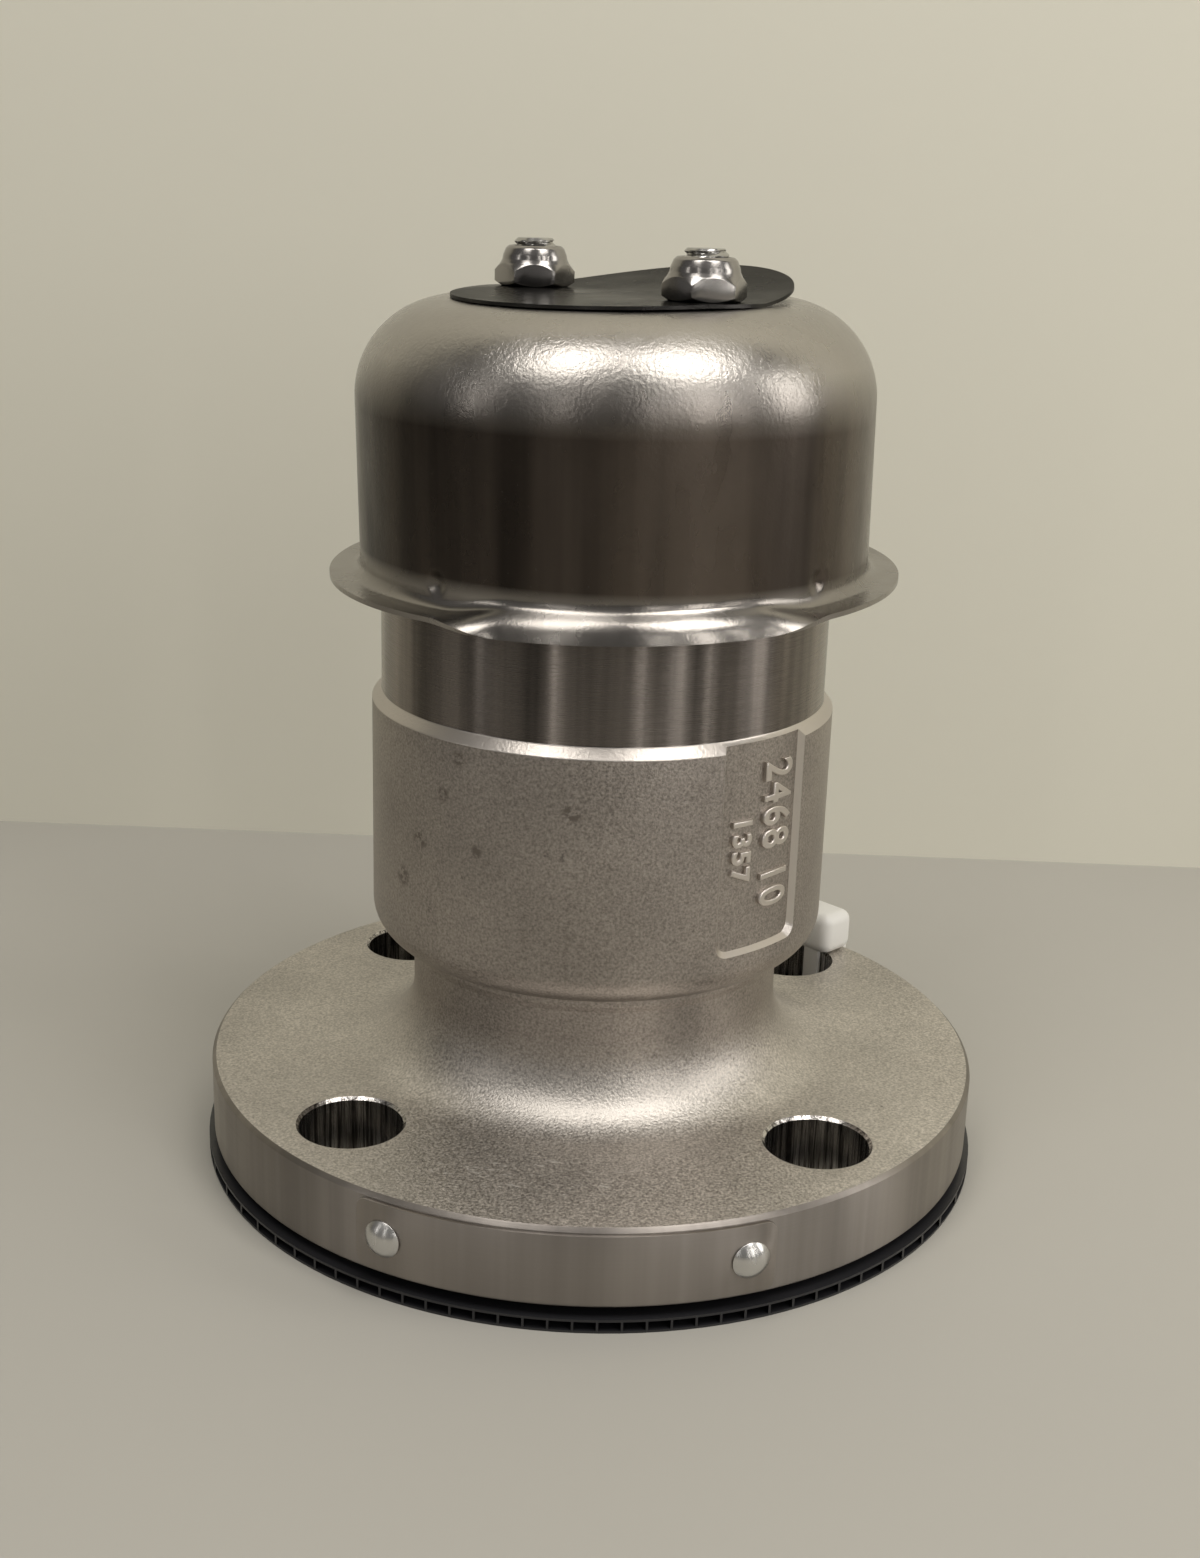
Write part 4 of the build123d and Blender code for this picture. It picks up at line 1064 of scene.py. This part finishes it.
# %% Nameplate
plate_azimuth, plate_half, plate_front = radians(268.4), radians(28.0), flange_radius + 0.8
plate = flat_plate("wrapped_nameplate", 2 * plate_half * plate_front, 13.2, 2.2)
thickened(plate, 0.8, 1.0)
rounded_edges(plate, 0.16, 50)
front = min(vertex.co.y for vertex in plate.data.vertices)
for vertex in plate.data.vertices:
    vertex.co.y -= front
plate.location = (0, 0, 11.7 * MM)
place_in_mesh(plate)
wrapped(plate, plate_front, plate_azimuth)
coated(plate, plate_finish, 30)
finished(plate, "nameplate")

# %% [markdown]
# The two drive screws are turned upright and laid on their sides.

# %% Drive screws
def laid_out(piece, name, azimuth, distance, height):
    """Lays an upright piece on its side, so that its top points away from the axis."""
    only(piece)
    bpy.ops.object.duplicate()
    twin = bpy.context.object
    twin.name = name
    twin.rotation_euler = (0, pi / 2, azimuth)
    twin.location = (distance * cos(azimuth) * MM, distance * sin(azimuth) * MM, height * MM)
    return place_in_mesh(twin)


head_radius, head_top, dome_height = 3.45, 1.9, 1.6
dome_radius = (head_radius ** 2 + dome_height ** 2) / (2 * dome_height)
dome = [(dome_radius * sin(t), head_top - dome_radius + dome_radius * cos(t))
        for t in [0.8 * asin(head_radius / dome_radius) * k / 12 for k in range(12, 0, -1)]]
shank = [(0, -6.0), (1.2, -6.0), (1.2, 0.0), (3.3, 0.0), (head_radius, 0.15), (head_radius, 0.35, 0.1)]
screw = turned("drive_screw", shank + dome + [(0, head_top)], steps=64)
screws = joined([laid_out(screw, "screw_copy", radians(a), plate_front, 11.7) for a in (244.6, 292.7)],
                "domed_drive_screws")
bpy.data.objects.remove(screw)
coated(screws, dome_finish, 50)
finished(screws, "drive_screws")

# %% [markdown]
# ## The spring
# The spring stands between its seat and the follower. One round section of its wire is swept up in
# turns by a screw modifier.

# %% Coil spring
spring_low, spring_length, spring_turns, valve_lift = 126.9, 23.0, 6, 8.0
coil_radius, wire_radius = 11.0, 0.9
deselect()
bpy.ops.mesh.primitive_circle_add(vertices=14, radius=wire_radius * MM, rotation=(pi / 2, 0, 0),
                                  location=(coil_radius * MM, 0, (spring_low + wire_radius) * MM))
coil = bpy.context.object
coil.name = "coil_spring"
place_in_mesh(coil)
bpy.ops.object.modifier_add(type="SCREW")
climb = coil.modifiers[-1]
climb.screw_offset = (spring_length - 2 * wire_radius) / spring_turns * MM
climb.iterations = spring_turns
climb.steps = climb.render_steps = 48
bpy.ops.object.modifier_apply(modifier=climb.name)
edit(coil)
bpy.ops.mesh.remove_doubles(threshold=0.002 * MM)
bpy.ops.mesh.fill_holes(sides=14)
close_mesh()
coil.data.materials.clear()
coated(coil, screw_finish, 40)
finished(coil, "spring")
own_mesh(coil)

# %% [markdown]
# ## Cable tie
# A white tie holds the plastic sheet on: it runs down through the back right bolt hole, under the
# flange and up outside the rim. Its section is extruded along the loop, corner after corner.

# %% Strap and head of the tie
def strap_loop(name, corners, width, thickness, corner_radius):
    """A flat strap that follows a closed loop with rounded corners in the XZ plane."""
    (ax, az), (bx, bz) = corners[-1], corners[0]
    closing = ((ax + bx) / 2, (az + bz) / 2)
    path = [closing] + [(x, z, corner_radius) for x, z in corners] + [closing]
    loop = drawn_outline(name, rounded(path, 6))
    edit(loop)
    bpy.ops.mesh.remove_doubles(threshold=0.01 * MM)
    bpy.ops.mesh.extrude_region_move(TRANSFORM_OT_translate={"value": (0, width * MM, 0)})
    bpy.ops.mesh.select_all(action="SELECT")
    bpy.ops.transform.translate(value=(0, -width / 2 * MM, 0))
    close_mesh()
    thickened(loop, thickness)
    return rounded_edges(loop, 0.2, 40)


tie = strap_loop("tie_strap", [(68.9, 20.0), (77.9, 20.0), (77.9, 1.3), (68.9, 1.3)], 4.2, 1.1, 1.0)
bpy.ops.mesh.primitive_cube_add(size=1, location=(71.5 * MM, 0, 24.0 * MM))
head = bpy.context.object
head.name = "tie_head"
head.scale = (9.5 * MM, 11.0 * MM, 9.4 * MM)
place_in_mesh(head)
rounded_edges(head, 2.4, 40, 5)
tie = joined([tie, head], "white_cable_tie")
tie.rotation_euler = (0, 0, radians(45))
place_in_mesh(tie)
coated(tie, tie_plastic, 40)
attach(tie, "housing")
